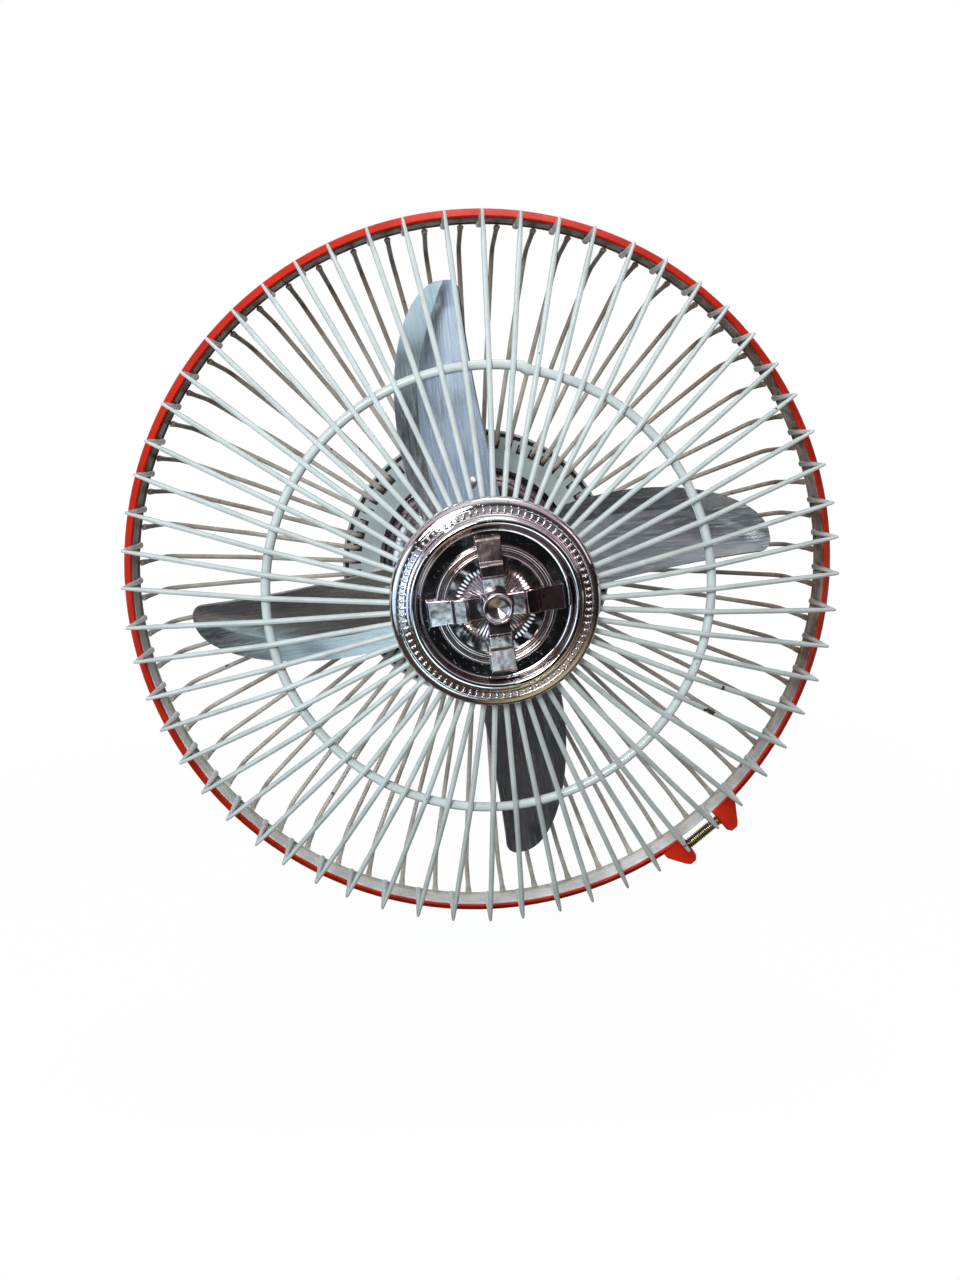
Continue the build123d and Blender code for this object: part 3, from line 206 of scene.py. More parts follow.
def fit(shape, name, body, finish, nodes, place=Matrix.Identity(4), sharp=SHARP_EDGE):
    """Turns a finished shape into a named piece on its body, in place of the plain nodes it stands for."""
    bmesh.ops.transform(shape, matrix=place, verts=shape.verts)
    bmesh.ops.recalc_face_normals(shape, faces=shape.faces)
    mesh = bpy.data.meshes.new(name)
    shape.to_mesh(mesh)
    shape.free()
    mesh.polygons.foreach_set("use_smooth", [True] * len(mesh.polygons))
    mesh.set_sharp_from_angle(angle=sharp)
    mesh.materials.append(finish)
    piece = bpy.data.objects.new(name, mesh)
    scene.collection.objects.link(piece)
    piece.modifiers.new("Flat faces stay flat", "WEIGHTED_NORMAL").keep_sharp = True
    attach(piece, body)
    if nodes:
        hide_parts(*nodes)


def eased(node, edge, steps=2):
    """A copy of a plain node with its sharp edges rounded, in metres."""
    shape = bmesh.new()
    shape.from_mesh(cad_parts[node].data)
    bmesh.ops.remove_doubles(shape, verts=shape.verts, dist=2e-6)
    bmesh.ops.dissolve_limit(shape, angle_limit=radians(1), verts=shape.verts, edges=shape.edges)
    crisp = [e for e in shape.edges if e.is_manifold and e.calc_face_angle() > CRISP_EDGE]
    bmesh.ops.bevel(
        shape, geom=crisp, offset=edge, offset_type="OFFSET", affect="EDGES",
        segments=steps, profile=0.5, material=-1, clamp_overlap=True,
    )
    return shape


def new_finish(name, **sockets):
    """An empty material with one Principled shader; its plain values are set on the shader's own sockets."""
    finish = bpy.data.materials.new(name)
    finish.use_nodes = True
    tree = finish.node_tree
    tree.nodes.clear()
    shader = put(tree, "BsdfPrincipled", **sockets)
    put(tree, "OutputMaterial", Surface=out(shader))
    return finish, tree, shader


def group_of(name, inputs, outputs):
    """An empty shader group with named inputs and outputs; returns it with its two end nodes."""
    group = bpy.data.node_groups.new(name, "ShaderNodeTree")
    for label, kind in inputs:
        group.interface.new_socket(label, in_out="INPUT", socket_type="NodeSocket" + kind)
    for label, kind in outputs:
        group.interface.new_socket(label, in_out="OUTPUT", socket_type="NodeSocket" + kind)
    return group, group.nodes.new("NodeGroupInput"), group.nodes.new("NodeGroupOutput")


def use(tree, group, **values):
    """Places a shader group in a material with its own values."""
    made = tree.nodes.new("ShaderNodeGroup")
    made.node_tree = group
    for name, value in values.items():
        feed(tree, made.inputs[name.replace("_", " ")], value)
    return made


def in_place(tree):
    """Object coordinates, which are the fan's own frame in metres."""
    return out(put(tree, "TexCoord"), "Object")


# Sprayed enamel: slow colour drift, a few chips, more of them near one knock, and a slight orange peel.
enamel_wear, ends, results = group_of(
    "Enamel wear",
    [("Place", "Vector"), ("Chips", "Float"), ("Knock", "Vector")],
    [("Chip", "Float"), ("Grime", "Float"), ("Level", "Float")],
)
place = ends.outputs["Place"]
fine = put(enamel_wear, "TexNoise", Vector=place, Scale=300.0, Detail=2.0, Roughness=0.5)
from_knock = put(enamel_wear, "VectorMath", operation="DISTANCE", Vector=place)
enamel_wear.links.new(ends.outputs["Knock"], from_knock.inputs[1])
knocked = spread(enamel_wear, out(from_knock, "Value"), 0.004, 0.016, 0.20, 0.0)
limit = combined(enamel_wear, "SUBTRACT", 0.80, combined(enamel_wear, "ADD", ends.outputs["Chips"], knocked))
enamel_wear.links.new(combined(enamel_wear, "GREATER_THAN", out(fine, "Fac"), limit), results.inputs["Chip"])
dust = put(enamel_wear, "TexNoise", Vector=place, Scale=70.0, Detail=6.0, Roughness=0.65)
enamel_wear.links.new(spread(enamel_wear, out(dust, "Fac"), 0.42, 0.72), results.inputs["Grime"])
peel = put(enamel_wear, "TexNoise", Vector=place, Scale=900.0, Detail=1.0)
enamel_wear.links.new(out(peel, "Fac"), results.inputs["Level"])

# Painted shade: a blotchy brown darkening that lies thickest behind the rim, at the top and on the right,
# where the rim shades the guard.
rim_painted_shade, ends, results = group_of(
    "Rim painted shade", [("Place", "Vector"), ("Behind", "Float"), ("Inner", "Float")], [("Mask", "Float")]
)
place = ends.outputs["Place"]
TOWARD_PAINTED_SHADE = (1.2, 0.0, 4.2)
FLAT = (1.0, 0.0, 1.0)
RIM_RADIUS = 0.118
lean = put(rim_painted_shade, "VectorMath", operation="DOT_PRODUCT", Vector=place)
lean.inputs[1].default_value = TOWARD_PAINTED_SHADE
side_share = spread(rim_painted_shade, out(lean, "Value"), -0.36, 0.02)
flat_place = put(rim_painted_shade, "VectorMath", operation="MULTIPLY", Vector=place)
flat_place.inputs[1].default_value = FLAT
outwards = out(put(rim_painted_shade, "VectorMath", operation="LENGTH", Vector=out(flat_place, "Vector")), "Value")
past_inner = spread(rim_painted_shade, outwards, ends.outputs["Inner"], RIM_RADIUS)
backwards = out(put(rim_painted_shade, "SeparateXYZ", Vector=place), "Y")
in_front = combined(rim_painted_shade, "SUBTRACT", backwards, ends.outputs["Behind"])
past_front = spread(rim_painted_shade, in_front, -0.004, 0.006)
cloud = put(rim_painted_shade, "TexNoise", Vector=place, Scale=120.0, Detail=5.0, Roughness=0.6)
share = spread(rim_painted_shade, out(cloud, "Fac"), 0.25, 0.60, 0.55, 1.0)
for factor in (side_share, past_inner, past_front):
    share = combined(rim_painted_shade, "MULTIPLY", share, factor)
rim_painted_shade.links.new(share, results.inputs["Mask"])
# The brown of the painted shade.
PAINTED_SHADE_BROWN = (0.110, 0.056, 0.032, 1)


def enamel(
    name, colour, drift, metal, roughness, chips, coat=0.6, knock=(9, 9, 9), painted_shade_behind=9.0,
    painted_shade_from=0.1, ior=1.42,
):
    """Sprayed enamel over steel: colour with dull patches, chips down to primer, a painted brown shade
    towards the rim and a clear gloss.
    """
    finish, tree, shader = new_finish(name, Coat_Weight=coat, Coat_Roughness=0.08, IOR=ior)
    place = in_place(tree)
    wear = use(tree, enamel_wear, Place=place, Chips=chips, Knock=knock)
    painted = blended(tree, out(wear, "Grime"), colour, drift)
    # A brown painted shade towards the rim, mostly at the top and on the right.
    rim_shade = use(tree, rim_painted_shade, Place=place, Behind=painted_shade_behind, Inner=painted_shade_from)
    shaded = blended(tree, out(rim_shade), painted, PAINTED_SHADE_BROWN)
    shade = blended(tree, out(wear, "Chip"), shaded, metal)
    tree.links.new(shade, shader.inputs["Base Color"])
    dull = spread(tree, out(wear, "Grime"), 0.0, 1.0, roughness, roughness + 0.16)
    tree.links.new(dull, shader.inputs["Roughness"])
    bump = put(tree, "Bump", Strength=0.12, Distance=0.0001, Height=out(wear, "Level"))
    tree.links.new(out(bump), shader.inputs["Normal"])
    return finish


MOTOR_GREY = (0.045, 0.050, 0.053, 1)
MOTOR_DUST = (0.075, 0.074, 0.070, 1)
BARE_STEEL = (0.22, 0.20, 0.18, 1)
motor_enamel = enamel("Motor enamel", MOTOR_GREY, MOTOR_DUST, BARE_STEEL, 0.34, 0.03)
fit(eased("foot_plate", 0.0004), "foot_pressing", "foot", motor_enamel, ["foot_plate"])

# Swivel bolt, nut and fibre washer: they join the yoke to the foot and let it turn.
# The bolt and nut are bright turned steel with rolled threads, the washer is pressed board.
turned_marks, ends, results = group_of(
    "Turning marks", [("Place", "Vector")], [("Line", "Float"), ("Stain", "Float")]
)
place = ends.outputs["Place"]
fine = put(turned_marks, "TexNoise", Vector=place, Scale=1500.0, Detail=3.0, Roughness=0.7)
turned_marks.links.new(spread(turned_marks, out(fine, "Fac"), 0.35, 0.65), results.inputs["Line"])
stain = put(turned_marks, "TexNoise", Vector=place, Scale=110.0, Detail=4.0)
turned_marks.links.new(spread(turned_marks, out(stain, "Fac"), 0.48, 0.75), results.inputs["Stain"])


def bare_metal(name, colour, stained, roughness, stretch=(1.0, 1.0, 1.0)):
    """Bare or plated metal with fine marks in it and slightly stained patches."""
    finish, tree, shader = new_finish(name, Metallic=1.0)
    lie = put(tree, "Mapping", Vector=in_place(tree), Scale=stretch)
    surface = use(tree, turned_marks, Place=out(lie))
    shade = blended(tree, out(surface, "Stain"), colour, stained)
    tree.links.new(shade, shader.inputs["Base Color"])
    dull = spread(tree, out(surface, "Line"), 0.0, 1.0, roughness - 0.05, roughness + 0.10)
    tree.links.new(dull, shader.inputs["Roughness"])
    bump = put(tree, "Bump", Strength=0.25, Distance=0.00003, Height=out(surface, "Line"))
    tree.links.new(out(bump), shader.inputs["Normal"])
    return finish


plain_steel = bare_metal("Plain steel", (0.52, 0.51, 0.50, 1), (0.33, 0.29, 0.25, 1), 0.32)
for node, body in (("swivel_bolt", "foot"), ("swivel_nut", "foot"), ("tilt_washers", "bracket")):
    fit(eased(node, 0.0003), node + "_turned", body, plain_steel, [node])


def grained(name, dark, light, size, detail, harsh=0.5, relief=0.0, depth=0.0001, **sockets):
    """A material whose colour wanders between two shades in a fine grain, which can stand out as relief."""
    finish, tree, shader = new_finish(name, **sockets)
    noise = put(tree, "TexNoise", Vector=in_place(tree), Scale=size, Detail=detail, Roughness=harsh)
    grain = out(noise, "Fac")
    tree.links.new(blended(tree, grain, dark, light), shader.inputs["Base Color"])
    if relief:
        bump = put(tree, "Bump", Strength=relief, Distance=depth, Height=grain)
        tree.links.new(out(bump), shader.inputs["Normal"])
    return finish, tree, shader, grain


fibre, *_ = grained(
    "Pressed board", (0.20, 0.09, 0.045, 1), (0.34, 0.18, 0.10, 1), 1400.0, 6.0, 0.8,
    relief=0.4, Roughness=0.85,
)
fit(eased("swivel_washer", 0.0001), "swivel_washer_board", "foot", fibre, ["swivel_washer"])

# Yoke: one steel strap bent to a U, with rounded ends at the tilt studs.
# The bends are easy, the edges are tumbled, and it has the same dark enamel as the foot.
fit(eased("yoke", 0.0005), "yoke_strap", "bracket", motor_enamel, ["yoke"])

# Tilt knobs: fluted black mouldings with a polished face, on steel studs that screw into the motor.
# The left and the right one are the same.
black_knob, tree, shader, mould = grained(
    "Knob moulding", (0.010, 0.010, 0.011, 1), (0.028, 0.027, 0.026, 1), 260.0, 4.0,
    IOR=1.49, Coat_Weight=0.3, Coat_Roughness=0.1,
)
tree.links.new(spread(tree, mould, 0.3, 0.7, 0.22, 0.42), shader.inputs["Roughness"])
for side in ("left", "right"):
    body = side + "_tilt_knob"
    fit(eased(side + "_knob", 0.0007, 3), side + "_grip", body, black_knob, [side + "_knob"])
    stud = side + "_knob_stud"
    fit(eased(stud, 0.0004), side + "_stud", body, plain_steel, [stud])

# Motor: a drawn steel can between a pressed rear cover and the bright front bell.
# Two long bolts with hexagon heads hold the covers together, and the leads leave through a rubber grommet.
fit(eased("motor_can", 0.0002), "motor_body", "head", motor_enamel, ["motor_can"])
rear_cover = eased("motor_rear_cover", 0.0006, 3)
fit(rear_cover, "motor_rear_shell", "head", motor_enamel, ["motor_rear_cover"])
fit(eased("tilt_bosses", 0.0003), "tilt_boss_rings", "head", plain_steel, ["tilt_bosses"])

# A shape placed at RIM is made in millimetres about the fan axis, with z as its distance before the rim.
MM = 0.001
RIM_DEPTH = 0.112
RIM = Matrix.Translation((0, -RIM_DEPTH, 0)) @ Matrix.Rotation(pi / 2, 4, "X") @ Matrix.Scale(MM, 4)


def raised(shape, face, by):
    """Draws a face out into a solid block and returns the corners of the block's far end."""
    grown = bmesh.ops.extrude_face_region(shape, geom=[face], use_keep_orig=True)["geom"]
    far = [v for v in grown if isinstance(v, bmesh.types.BMVert)]
    bmesh.ops.translate(shape, verts=far, vec=by)
    return far


def hexagon(shape, corner, height, ease, at):
    """A six-sided head with its top edges eased, set with its foot at a place."""
    made = bmesh.ops.create_circle(shape, cap_ends=True, segments=6, radius=corner, matrix=at)
    top = raised(shape, made["verts"][0].link_faces[0], at.to_3x3() @ Vector((0, 0, height)))
    top_edges = [e for e in shape.edges if all(v in top for v in e.verts)]
    bmesh.ops.bevel(
        shape, geom=top_edges, offset=ease, offset_type="OFFSET", affect="EDGES",
        segments=2, profile=0.5, material=-1,
    )


BOLT_CIRCLE = 25.0
COVER_BACK = -77.6
WASHER_RADIUS = 2.7
WASHER_THICK = 0.4
HEAD_CORNER = 2.55
HEAD_HEIGHT = 1.5
bolts = bmesh.new()
for side in (1, -1):
    seat = Matrix.Translation((0, side * BOLT_CIRCLE, COVER_BACK)) @ Matrix.Rotation(pi, 4, "X")
    washer = bmesh.ops.create_circle(bolts, cap_ends=True, segments=24, radius=WASHER_RADIUS, matrix=seat)
    raised(bolts, washer["verts"][0].link_faces[0], (0, 0, -WASHER_THICK))
    hexagon(bolts, HEAD_CORNER, HEAD_HEIGHT, 0.25, seat @ Matrix.Translation((0, 0, 0.45)))
fit(bolts, "through_bolt_heads", "head", plain_steel, ["through_bolts"], RIM)

rubber, *_ = grained(
    "Grommet rubber", (0.012, 0.012, 0.012, 1), (0.040, 0.038, 0.036, 1), 700.0, 4.0, Roughness=0.72
)
fit(eased("lead_grommet", 0.0005, 3), "lead_grommet_rubber", "head", rubber, ["lead_grommet"])

# Front bell: a bright plated pressing with a flange for the guard, a bulged dome and the bearing boss.
# The plating is mirror-like, with a warm cast and a few dull spots.
plating, ends, results = group_of(
    "Plating age", [("Place", "Vector")],
    [("Haze", "Float"), ("Pit", "Float"), ("Cast", "Float"), ("Wave", "Float")],
)
place = ends.outputs["Place"]
haze = put(plating, "TexNoise", Vector=place, Scale=60.0, Detail=5.0, Roughness=0.6)
pits = put(plating, "TexNoise", Vector=place, Scale=900.0, Detail=3.0)
cast = put(plating, "TexNoise", Vector=place, Scale=22.0, Detail=1.0)
wave = put(plating, "TexNoise", Vector=place, Scale=170.0, Detail=2.0)
plating.links.new(spread(plating, out(haze, "Fac"), 0.45, 0.75), results.inputs["Haze"])
plating.links.new(spread(plating, out(pits, "Fac"), 0.66, 0.72), results.inputs["Pit"])
plating.links.new(spread(plating, out(cast, "Fac"), 0.40, 0.62), results.inputs["Cast"])
plating.links.new(out(wave, "Fac"), results.inputs["Wave"])


def plated(name, bright, warm, pitted, gloss, waves=0.00010):
    """Old bright plating: mirror-like but wavy, with a warm cast in places, haze and small dark pits."""
    finish, tree, shader = new_finish(name, Metallic=1.0)
    age = use(tree, plating, Place=in_place(tree))
    tinted = blended(tree, out(age, "Cast"), bright, warm)
    tree.links.new(blended(tree, out(age, "Pit"), tinted, pitted), shader.inputs["Base Color"])
    dull = spread(tree, out(age, "Haze"), 0.0, 1.0, gloss, gloss + 0.14)
    tree.links.new(dull, shader.inputs["Roughness"])
    bump = put(tree, "Bump", invert=True, Strength=0.2, Distance=0.00006, Height=out(age, "Pit"))
    wavy = put(tree, "Bump", Strength=1.0, Distance=waves, Height=out(age, "Wave"), Normal=out(bump))
    tree.links.new(out(wavy), shader.inputs["Normal"])
    return finish


ON_AXIS = 0.001
MERGE = 1e-4


def turned(shape, profile, steps, sweep=2 * pi, start=0.0, closed=True):
    """Turns a profile of (radius, forward, corner rounding) about the z axis."""
    points = [shape.verts.new((radius, 0, forward)) for radius, forward, _ in profile]
    onward = points[1:] + points[:1] if closed else points[1:]
    for pair in zip(points, onward):
        shape.edges.new(pair)
    line = set(points)
    for point, (_, _, rounding) in zip(points, profile):
        if rounding:
            line.discard(point)
            eased_corner = bmesh.ops.bevel(
                shape, geom=[point, *point.link_edges], offset=rounding, offset_type="OFFSET",
                affect="VERTICES", segments=4, profile=0.5, material=-1,
            )
            line.update(eased_corner["verts"])
    line = [v for v in line if v.is_valid]
    edges = {e for v in line for e in v.link_edges}
    geom = line + list(edges)
    full = sweep >= 2 * pi - 1e-6
    if closed and not full:
        geom += bmesh.ops.contextual_create(shape, geom=list(edges))["faces"]
    bmesh.ops.rotate(shape, cent=(0, 0, 0), matrix=Matrix.Rotation(start, 3, "Z"), verts=line)
    bmesh.ops.spin(
        shape, geom=geom, cent=(0, 0, 0), axis=(0, 0, 1), angle=sweep, steps=steps, use_merge=full
    )
    if full:
        bmesh.ops.remove_doubles(shape, verts=shape.verts, dist=MERGE)


SMOKY = (0.30, 0.27, 0.27, 1)
SMOKY_WARM = (0.20, 0.15, 0.15, 1)
smoky_plating = plated("Smoky plating", SMOKY, SMOKY_WARM, (0.06, 0.05, 0.04, 1), 0.06)
bell = bmesh.new()
turned(
    bell,
    [
        (4.05, -22.5, 0), (4.05, -14.5, 0.2), (9.0, -14.5, 1.0), (9.0, -19.0, 0.8), (12.0, -19.0, 2.0),
        (24.0, -20.6, 6.0), (32.0, -23.8, 4.0), (34.2, -27.2, 0.6), (41.5, -27.2, 0.3), (41.5, -29.7, 0.3),
        (31.7, -29.7, 0.3), (31.7, -36.0, 0.2), (30.1, -36.0, 0), (30.1, -30.0, 0), (28.5, -30.0, 0),
        (28.5, -28.0, 2.0), (24.0, -22.4, 4.0), (12.0, -20.6, 1.0), (9.0, -22.5, 0),
    ],
    steps=144,
)
fit(bell, "motor_front_shell", "head", smoky_plating, ["motor_front_bell"], RIM)

# Rear plate: a round enamelled plate with one slot for each hooked wire and a window between each pair.
# It is stamped, so its holes have slightly rounded edges, and three pan-head screws hold it to the bell.
PLATE_GREEN = (0.50, 0.61, 0.62, 1)
PLATE_DUST = (0.36, 0.41, 0.40, 1)
PRIMER = (0.060, 0.048, 0.040, 1)
plate_enamel = enamel("Plate enamel", PLATE_GREEN, PLATE_DUST, PRIMER, 0.36, 0.04)
plate = eased("rear_guard_plate", 0.00012, 1)
fit(plate, "rear_plate_stamping", "head", plate_enamel, ["rear_guard_plate"])


def cut_slot(head, above, half_width, depth):
    """Presses a screwdriver slot into the top of a screw head."""
    for v in head.verts:
        if v.co.z > above and abs(v.co.y) < half_width:
            v.co.z -= depth


def move_into(whole, part):
    """Adds a finished shape to a larger one."""
    carrier = bpy.data.meshes.new("Carrier")
    part.to_mesh(carrier)
    part.free()
    whole.from_mesh(carrier)
    bpy.data.meshes.remove(carrier)


GUARD_SCREW_CIRCLE = 38.55
GUARD_SCREW_ANGLE = 113.0
PLATE_FRONT = -26.2
heads = bmesh.new()
for k in range(3):
    head = bmesh.new()
    turned(
        head,
        [(ON_AXIS, 2.0, 0), (1.5, 1.95, 0.8), (2.7, 1.1, 0.6), (2.8, 0.0, 0), (ON_AXIS, 0.0, 0)],
        steps=24, closed=False,
    )
    cut_slot(head, 1.0, 0.45, 0.7)
    round_to = Matrix.Rotation(radians(GUARD_SCREW_ANGLE + 120 * k), 4, "Z")
    seat = round_to @ Matrix.Translation((GUARD_SCREW_CIRCLE, 0, PLATE_FRONT))
    bmesh.ops.transform(head, matrix=seat @ Matrix.Rotation(0.5 + 1.9 * k, 4, "Z"), verts=head.verts)
    move_into(heads, head)
fit(heads, "guard_screw_heads", "head", plain_steel, ["guard_screws"], RIM)

# Painted shade: a thin dark sheet just behind the plate's windows and slots, standing for the shade seen
# through them.
# It isn't fixed, and it makes the openings look black from the front.
dark_window_sheet, *_ = grained(
    "Painted window shade", (0.010, 0.008, 0.007, 1), (0.060, 0.046, 0.038, 1), 900.0, 5.0, 0.7,
    relief=0.8, depth=0.0002, Roughness=0.95,
)
SHADE_SHEET_FRONT = -27.22
SHADE_SHEET_BACK = -27.45
shade_sheet = bmesh.new()
outline = [(42.0, SHADE_SHEET_FRONT, 0), (48.45, SHADE_SHEET_FRONT, 0), (48.45, SHADE_SHEET_BACK, 0), (42.0, SHADE_SHEET_BACK, 0)]
turned(shade_sheet, outline, steps=120)
fit(shade_sheet, "plate_window_shade", "head", dark_window_sheet, [], RIM)

# Rear guard: 60 round wires, welded inside the rim ring, bent round the bowl and hooked into the plate.
# They are sprayed with the same pale enamel as the front, shown duller with patches of dust; as painted
# shade it is greyer and browner here, and a painted brown shade grows from 60 mm out to the rim at the top
# and on the right.
REAR_WIRE = 1.65
WIRES = 60


def bend_wire(shape, corners, size, bends, bend_steps=4):
    """Draws one wire through corners (radius, forward), with each inner corner bent to its radius."""
    points = [Vector((radius, 0, forward)) for radius, forward in corners]
    here = points[0]
    heading = (points[1] - here).normalized()
    lie = Matrix.Translation(here) @ heading.to_track_quat("Z", "Y").to_matrix().to_4x4()
    start = bmesh.ops.create_circle(shape, cap_ends=True, segments=8, radius=size / 2, matrix=lie)
    ring = list({e for v in start["verts"] for e in v.link_edges})
    for number, corner in enumerate(points[1:], start=1):
        last = number == len(points) - 1
        trim = 0.0
        if not last:
            onward = (points[number + 1] - corner).normalized()
            turn = heading.angle(onward)
            trim = bends[number - 1] * tan(turn / 2)
        grown = bmesh.ops.extrude_edge_only(shape, edges=ring)["geom"]
        fresh = [v for v in grown if isinstance(v, bmesh.types.BMVert)]
        bmesh.ops.translate(shape, verts=fresh, vec=corner - heading * trim - here)
        ring = [e for e in grown if isinstance(e, bmesh.types.BMEdge) and all(v in fresh for v in e.verts)]
        if last:
            break
        hinge = heading.cross(onward).normalized()
        centre = corner - heading * trim + hinge.cross(heading) * bends[number - 1]
        bent = bmesh.ops.spin(shape, geom=ring, cent=centre, axis=hinge, angle=turn, steps=bend_steps)
        ring = [e for e in bent["geom_last"] if isinstance(e, bmesh.types.BMEdge)]
        here = corner + onward * trim
        heading = onward
    bmesh.ops.contextual_create(shape, geom=ring)


def ring_cuts(shape, *planes):
    """Adds a ring of edges to a wire where each plane (place, direction) crosses it."""
    for place, direction in planes:
        whole = shape.verts[:] + shape.edges[:] + shape.faces[:]
        bmesh.ops.bisect_plane(shape, geom=whole, plane_co=place, plane_no=direction)


def copied_round(shape, count):
    """Repeats a shape round the fan axis."""
    one = shape.verts[:] + shape.edges[:] + shape.faces[:]
    bmesh.ops.spin(
        shape, geom=one, cent=(0, 0, 0), axis=(0, 0, 1), angle=2 * pi * (count - 1) / count,
        steps=count - 1, use_duplicate=True, use_merge=False,
    )


SWAY_FROM = 72.3
SWAY_RUN = 50


def all_round(shape, first, sway):
    """Repeats a wire round the fan axis; each copy leans by its own small angle, more towards the rim."""
    copied_round(shape, WIRES)
    for v in shape.verts:
        angle = atan2(v.co.y, v.co.x)
        number = round(angle * WIRES / (2 * pi)) % WIRES
        reach = min(1.0, max(0.0, (v.co.xy.length - SWAY_FROM) / SWAY_RUN))
        lean = sway * reach * (sin(2.7 * number) + 0.6 * sin(5.3 * number + 1))
        v.co = Matrix.Rotation(radians(first + lean), 3, "Z") @ v.co


# The front's pale enamel, painted greyer and browner as painted shade.
REAR_SHADED_WHITE = (0.56, 0.55, 0.51, 1)
REAR_DUST = (0.27, 0.225, 0.18, 1)
rear_enamel = enamel(
    "Rear enamel", REAR_SHADED_WHITE, REAR_DUST, PRIMER, 0.45, 0.06, coat=0.0, painted_shade_behind=-0.12, painted_shade_from=0.060,
)
rear_wires = bmesh.new()
bend_wire(
    rear_wires,
    [(117.35, -3.8), (111.2, -22.0), (84.0, -25.8), (45.2, -25.3), (43.7, -28.0)],
    REAR_WIRE,
    bends=[6.0, 20.0, 1.4],
)
WELD_FOOT = -7.5
WELD_WIDER = 0.4
WELD_RUN = 3.7
ring_cuts(rear_wires, ((0, 0, WELD_FOOT), (0, 0, 1)), ((0, 0, WELD_FOOT + 1.6), (0, 0, 1)))
for v in rear_wires.verts:
    v.co.y *= 1 + WELD_WIDER * max(0.0, (v.co.z - WELD_FOOT) / WELD_RUN)
all_round(rear_wires, 3.6, 0.12)
fit(rear_wires, "rear_wires_bent", "head", rear_enamel, ["rear_guard_wires"], RIM)


def hoop(shape, radius, forward, size, steps=180):
    """A round wire ring."""
    lie = Matrix.Translation((radius, 0, forward)) @ Matrix.Rotation(pi / 2, 4, "X")
    wire = bmesh.ops.create_circle(shape, cap_ends=False, segments=12, radius=size / 2, matrix=lie)
    geom = wire["verts"] + list({e for v in wire["verts"] for e in v.link_edges})
    bmesh.ops.spin(
        shape, geom=geom, cent=(0, 0, 0), axis=(0, 0, 1), angle=2 * pi, steps=steps, use_merge=True
    )
    bmesh.ops.remove_doubles(shape, verts=shape.verts, dist=MERGE)


REAR_RING_RADIUS = 119.55
REAR_RING_AT = -5.17
REAR_RING_WIRE = 2.8
rear_ring = bmesh.new()
hoop(rear_ring, REAR_RING_RADIUS, REAR_RING_AT, REAR_RING_WIRE)
fit(rear_ring, "rear_ring_round", "head", rear_enamel, ["rear_rim_ring"], RIM)

# Rotor boss, shaft and spider: a turned steel boss, and a stamped four-armed plate twisted to the pitch.
# Rivets with round heads fix a blade to each arm.
fit(eased("rotor_hub", 0.0003), "rotor_boss", "rotor", plain_steel, ["rotor_hub"])
fit(eased("motor_shaft", 0.0003), "shaft_bar", "rotor", plain_steel, ["motor_shaft"])
fit(eased("blade_spider", 0.0002), "spider_stamping", "rotor", plain_steel, ["blade_spider"])

BLADE_PHASE = 6.3
BLADE_PITCH = radians(24.0)
SPIDER_AT = 3.6


def on_arm(number):
    """Places a shape on an arm: x runs out along it, y ahead across it and z forward out of its face."""
    turn = Matrix.Rotation(radians(BLADE_PHASE + 90 * number), 4, "Z")
    tip_over = Matrix.Rotation(-BLADE_PITCH, 4, "X")
    return turn @ Matrix.Translation((0, 0, SPIDER_AT)) @ tip_over


SPIDER_SHEET = 1.6
BLADE_SHEET = 0.9
RIVETS_AT = (25.0, 33.0)
rivets = bmesh.new()
for number in range(4):
    for reach in RIVETS_AT:
        rivet = bmesh.new()
        front = SPIDER_SHEET / 2 + BLADE_SHEET
        turned(
            rivet,
            [(ON_AXIS, front + 1.0, 0), (1.6, front + 0.9, 0.7), (2.7, front + 0.15, 0.2), (2.7, front, 0),
             (1.5, front, 0), (1.5, -0.8, 0), (2.6, -0.8, 0), (2.4, -1.3, 0.4), (ON_AXIS, -1.6, 0)],
            steps=20, closed=False,
        )
        lie = on_arm(number) @ Matrix.Translation((reach, 0, 0))
        bmesh.ops.transform(rivet, matrix=lie, verts=rivet.verts)
        move_into(rivets, rivet)
fit(rivets, "blade_rivet_heads", "rotor", plain_steel, ["blade_rivets"], RIM)

# Blades: four separate sheets of brushed metal with a fold that runs from the root to the tip.
# Each is blanked with a swept leading edge, folded along a curve, and riveted to its arm.
blade_metal, tree, shader = new_finish("Brushed blade sheet", Metallic=0.9)
sheet_map = out(put(tree, "UVMap", uv_map="Sheet"))
grain_lie = put(tree, "Mapping", Vector=sheet_map, Scale=(110.0, 1500.0, 1.0))
grain = put(tree, "TexNoise", Vector=out(grain_lie), Scale=1.0, Detail=4.0, Roughness=0.7)
band_lie = put(tree, "Mapping", Vector=sheet_map, Scale=(12.0, 190.0, 1.0))
bands = put(tree, "TexNoise", Vector=out(band_lie), Scale=1.0, Detail=2.0)
BLADE_DARK = (0.21, 0.235, 0.26, 1)
BLADE_GREY = (0.32, 0.34, 0.36, 1)
BLADE_BRIGHT = (0.50, 0.53, 0.56, 1)
tint = blended(tree, spread(tree, out(bands, "Fac"), 0.35, 0.65), BLADE_DARK, BLADE_GREY)
brushed = blended(tree, spread(tree, out(grain, "Fac"), 0.38, 0.62, 0.0, 0.55), tint, BLADE_BRIGHT)
tree.links.new(brushed, shader.inputs["Base Color"])
tree.links.new(spread(tree, out(grain, "Fac"), 0.3, 0.7, 0.14, 0.30), shader.inputs["Roughness"])
sheet_bump = put(tree, "Bump", Strength=0.5, Distance=0.00005, Height=out(grain, "Fac"))
tree.links.new(out(sheet_bump), shader.inputs["Normal"])

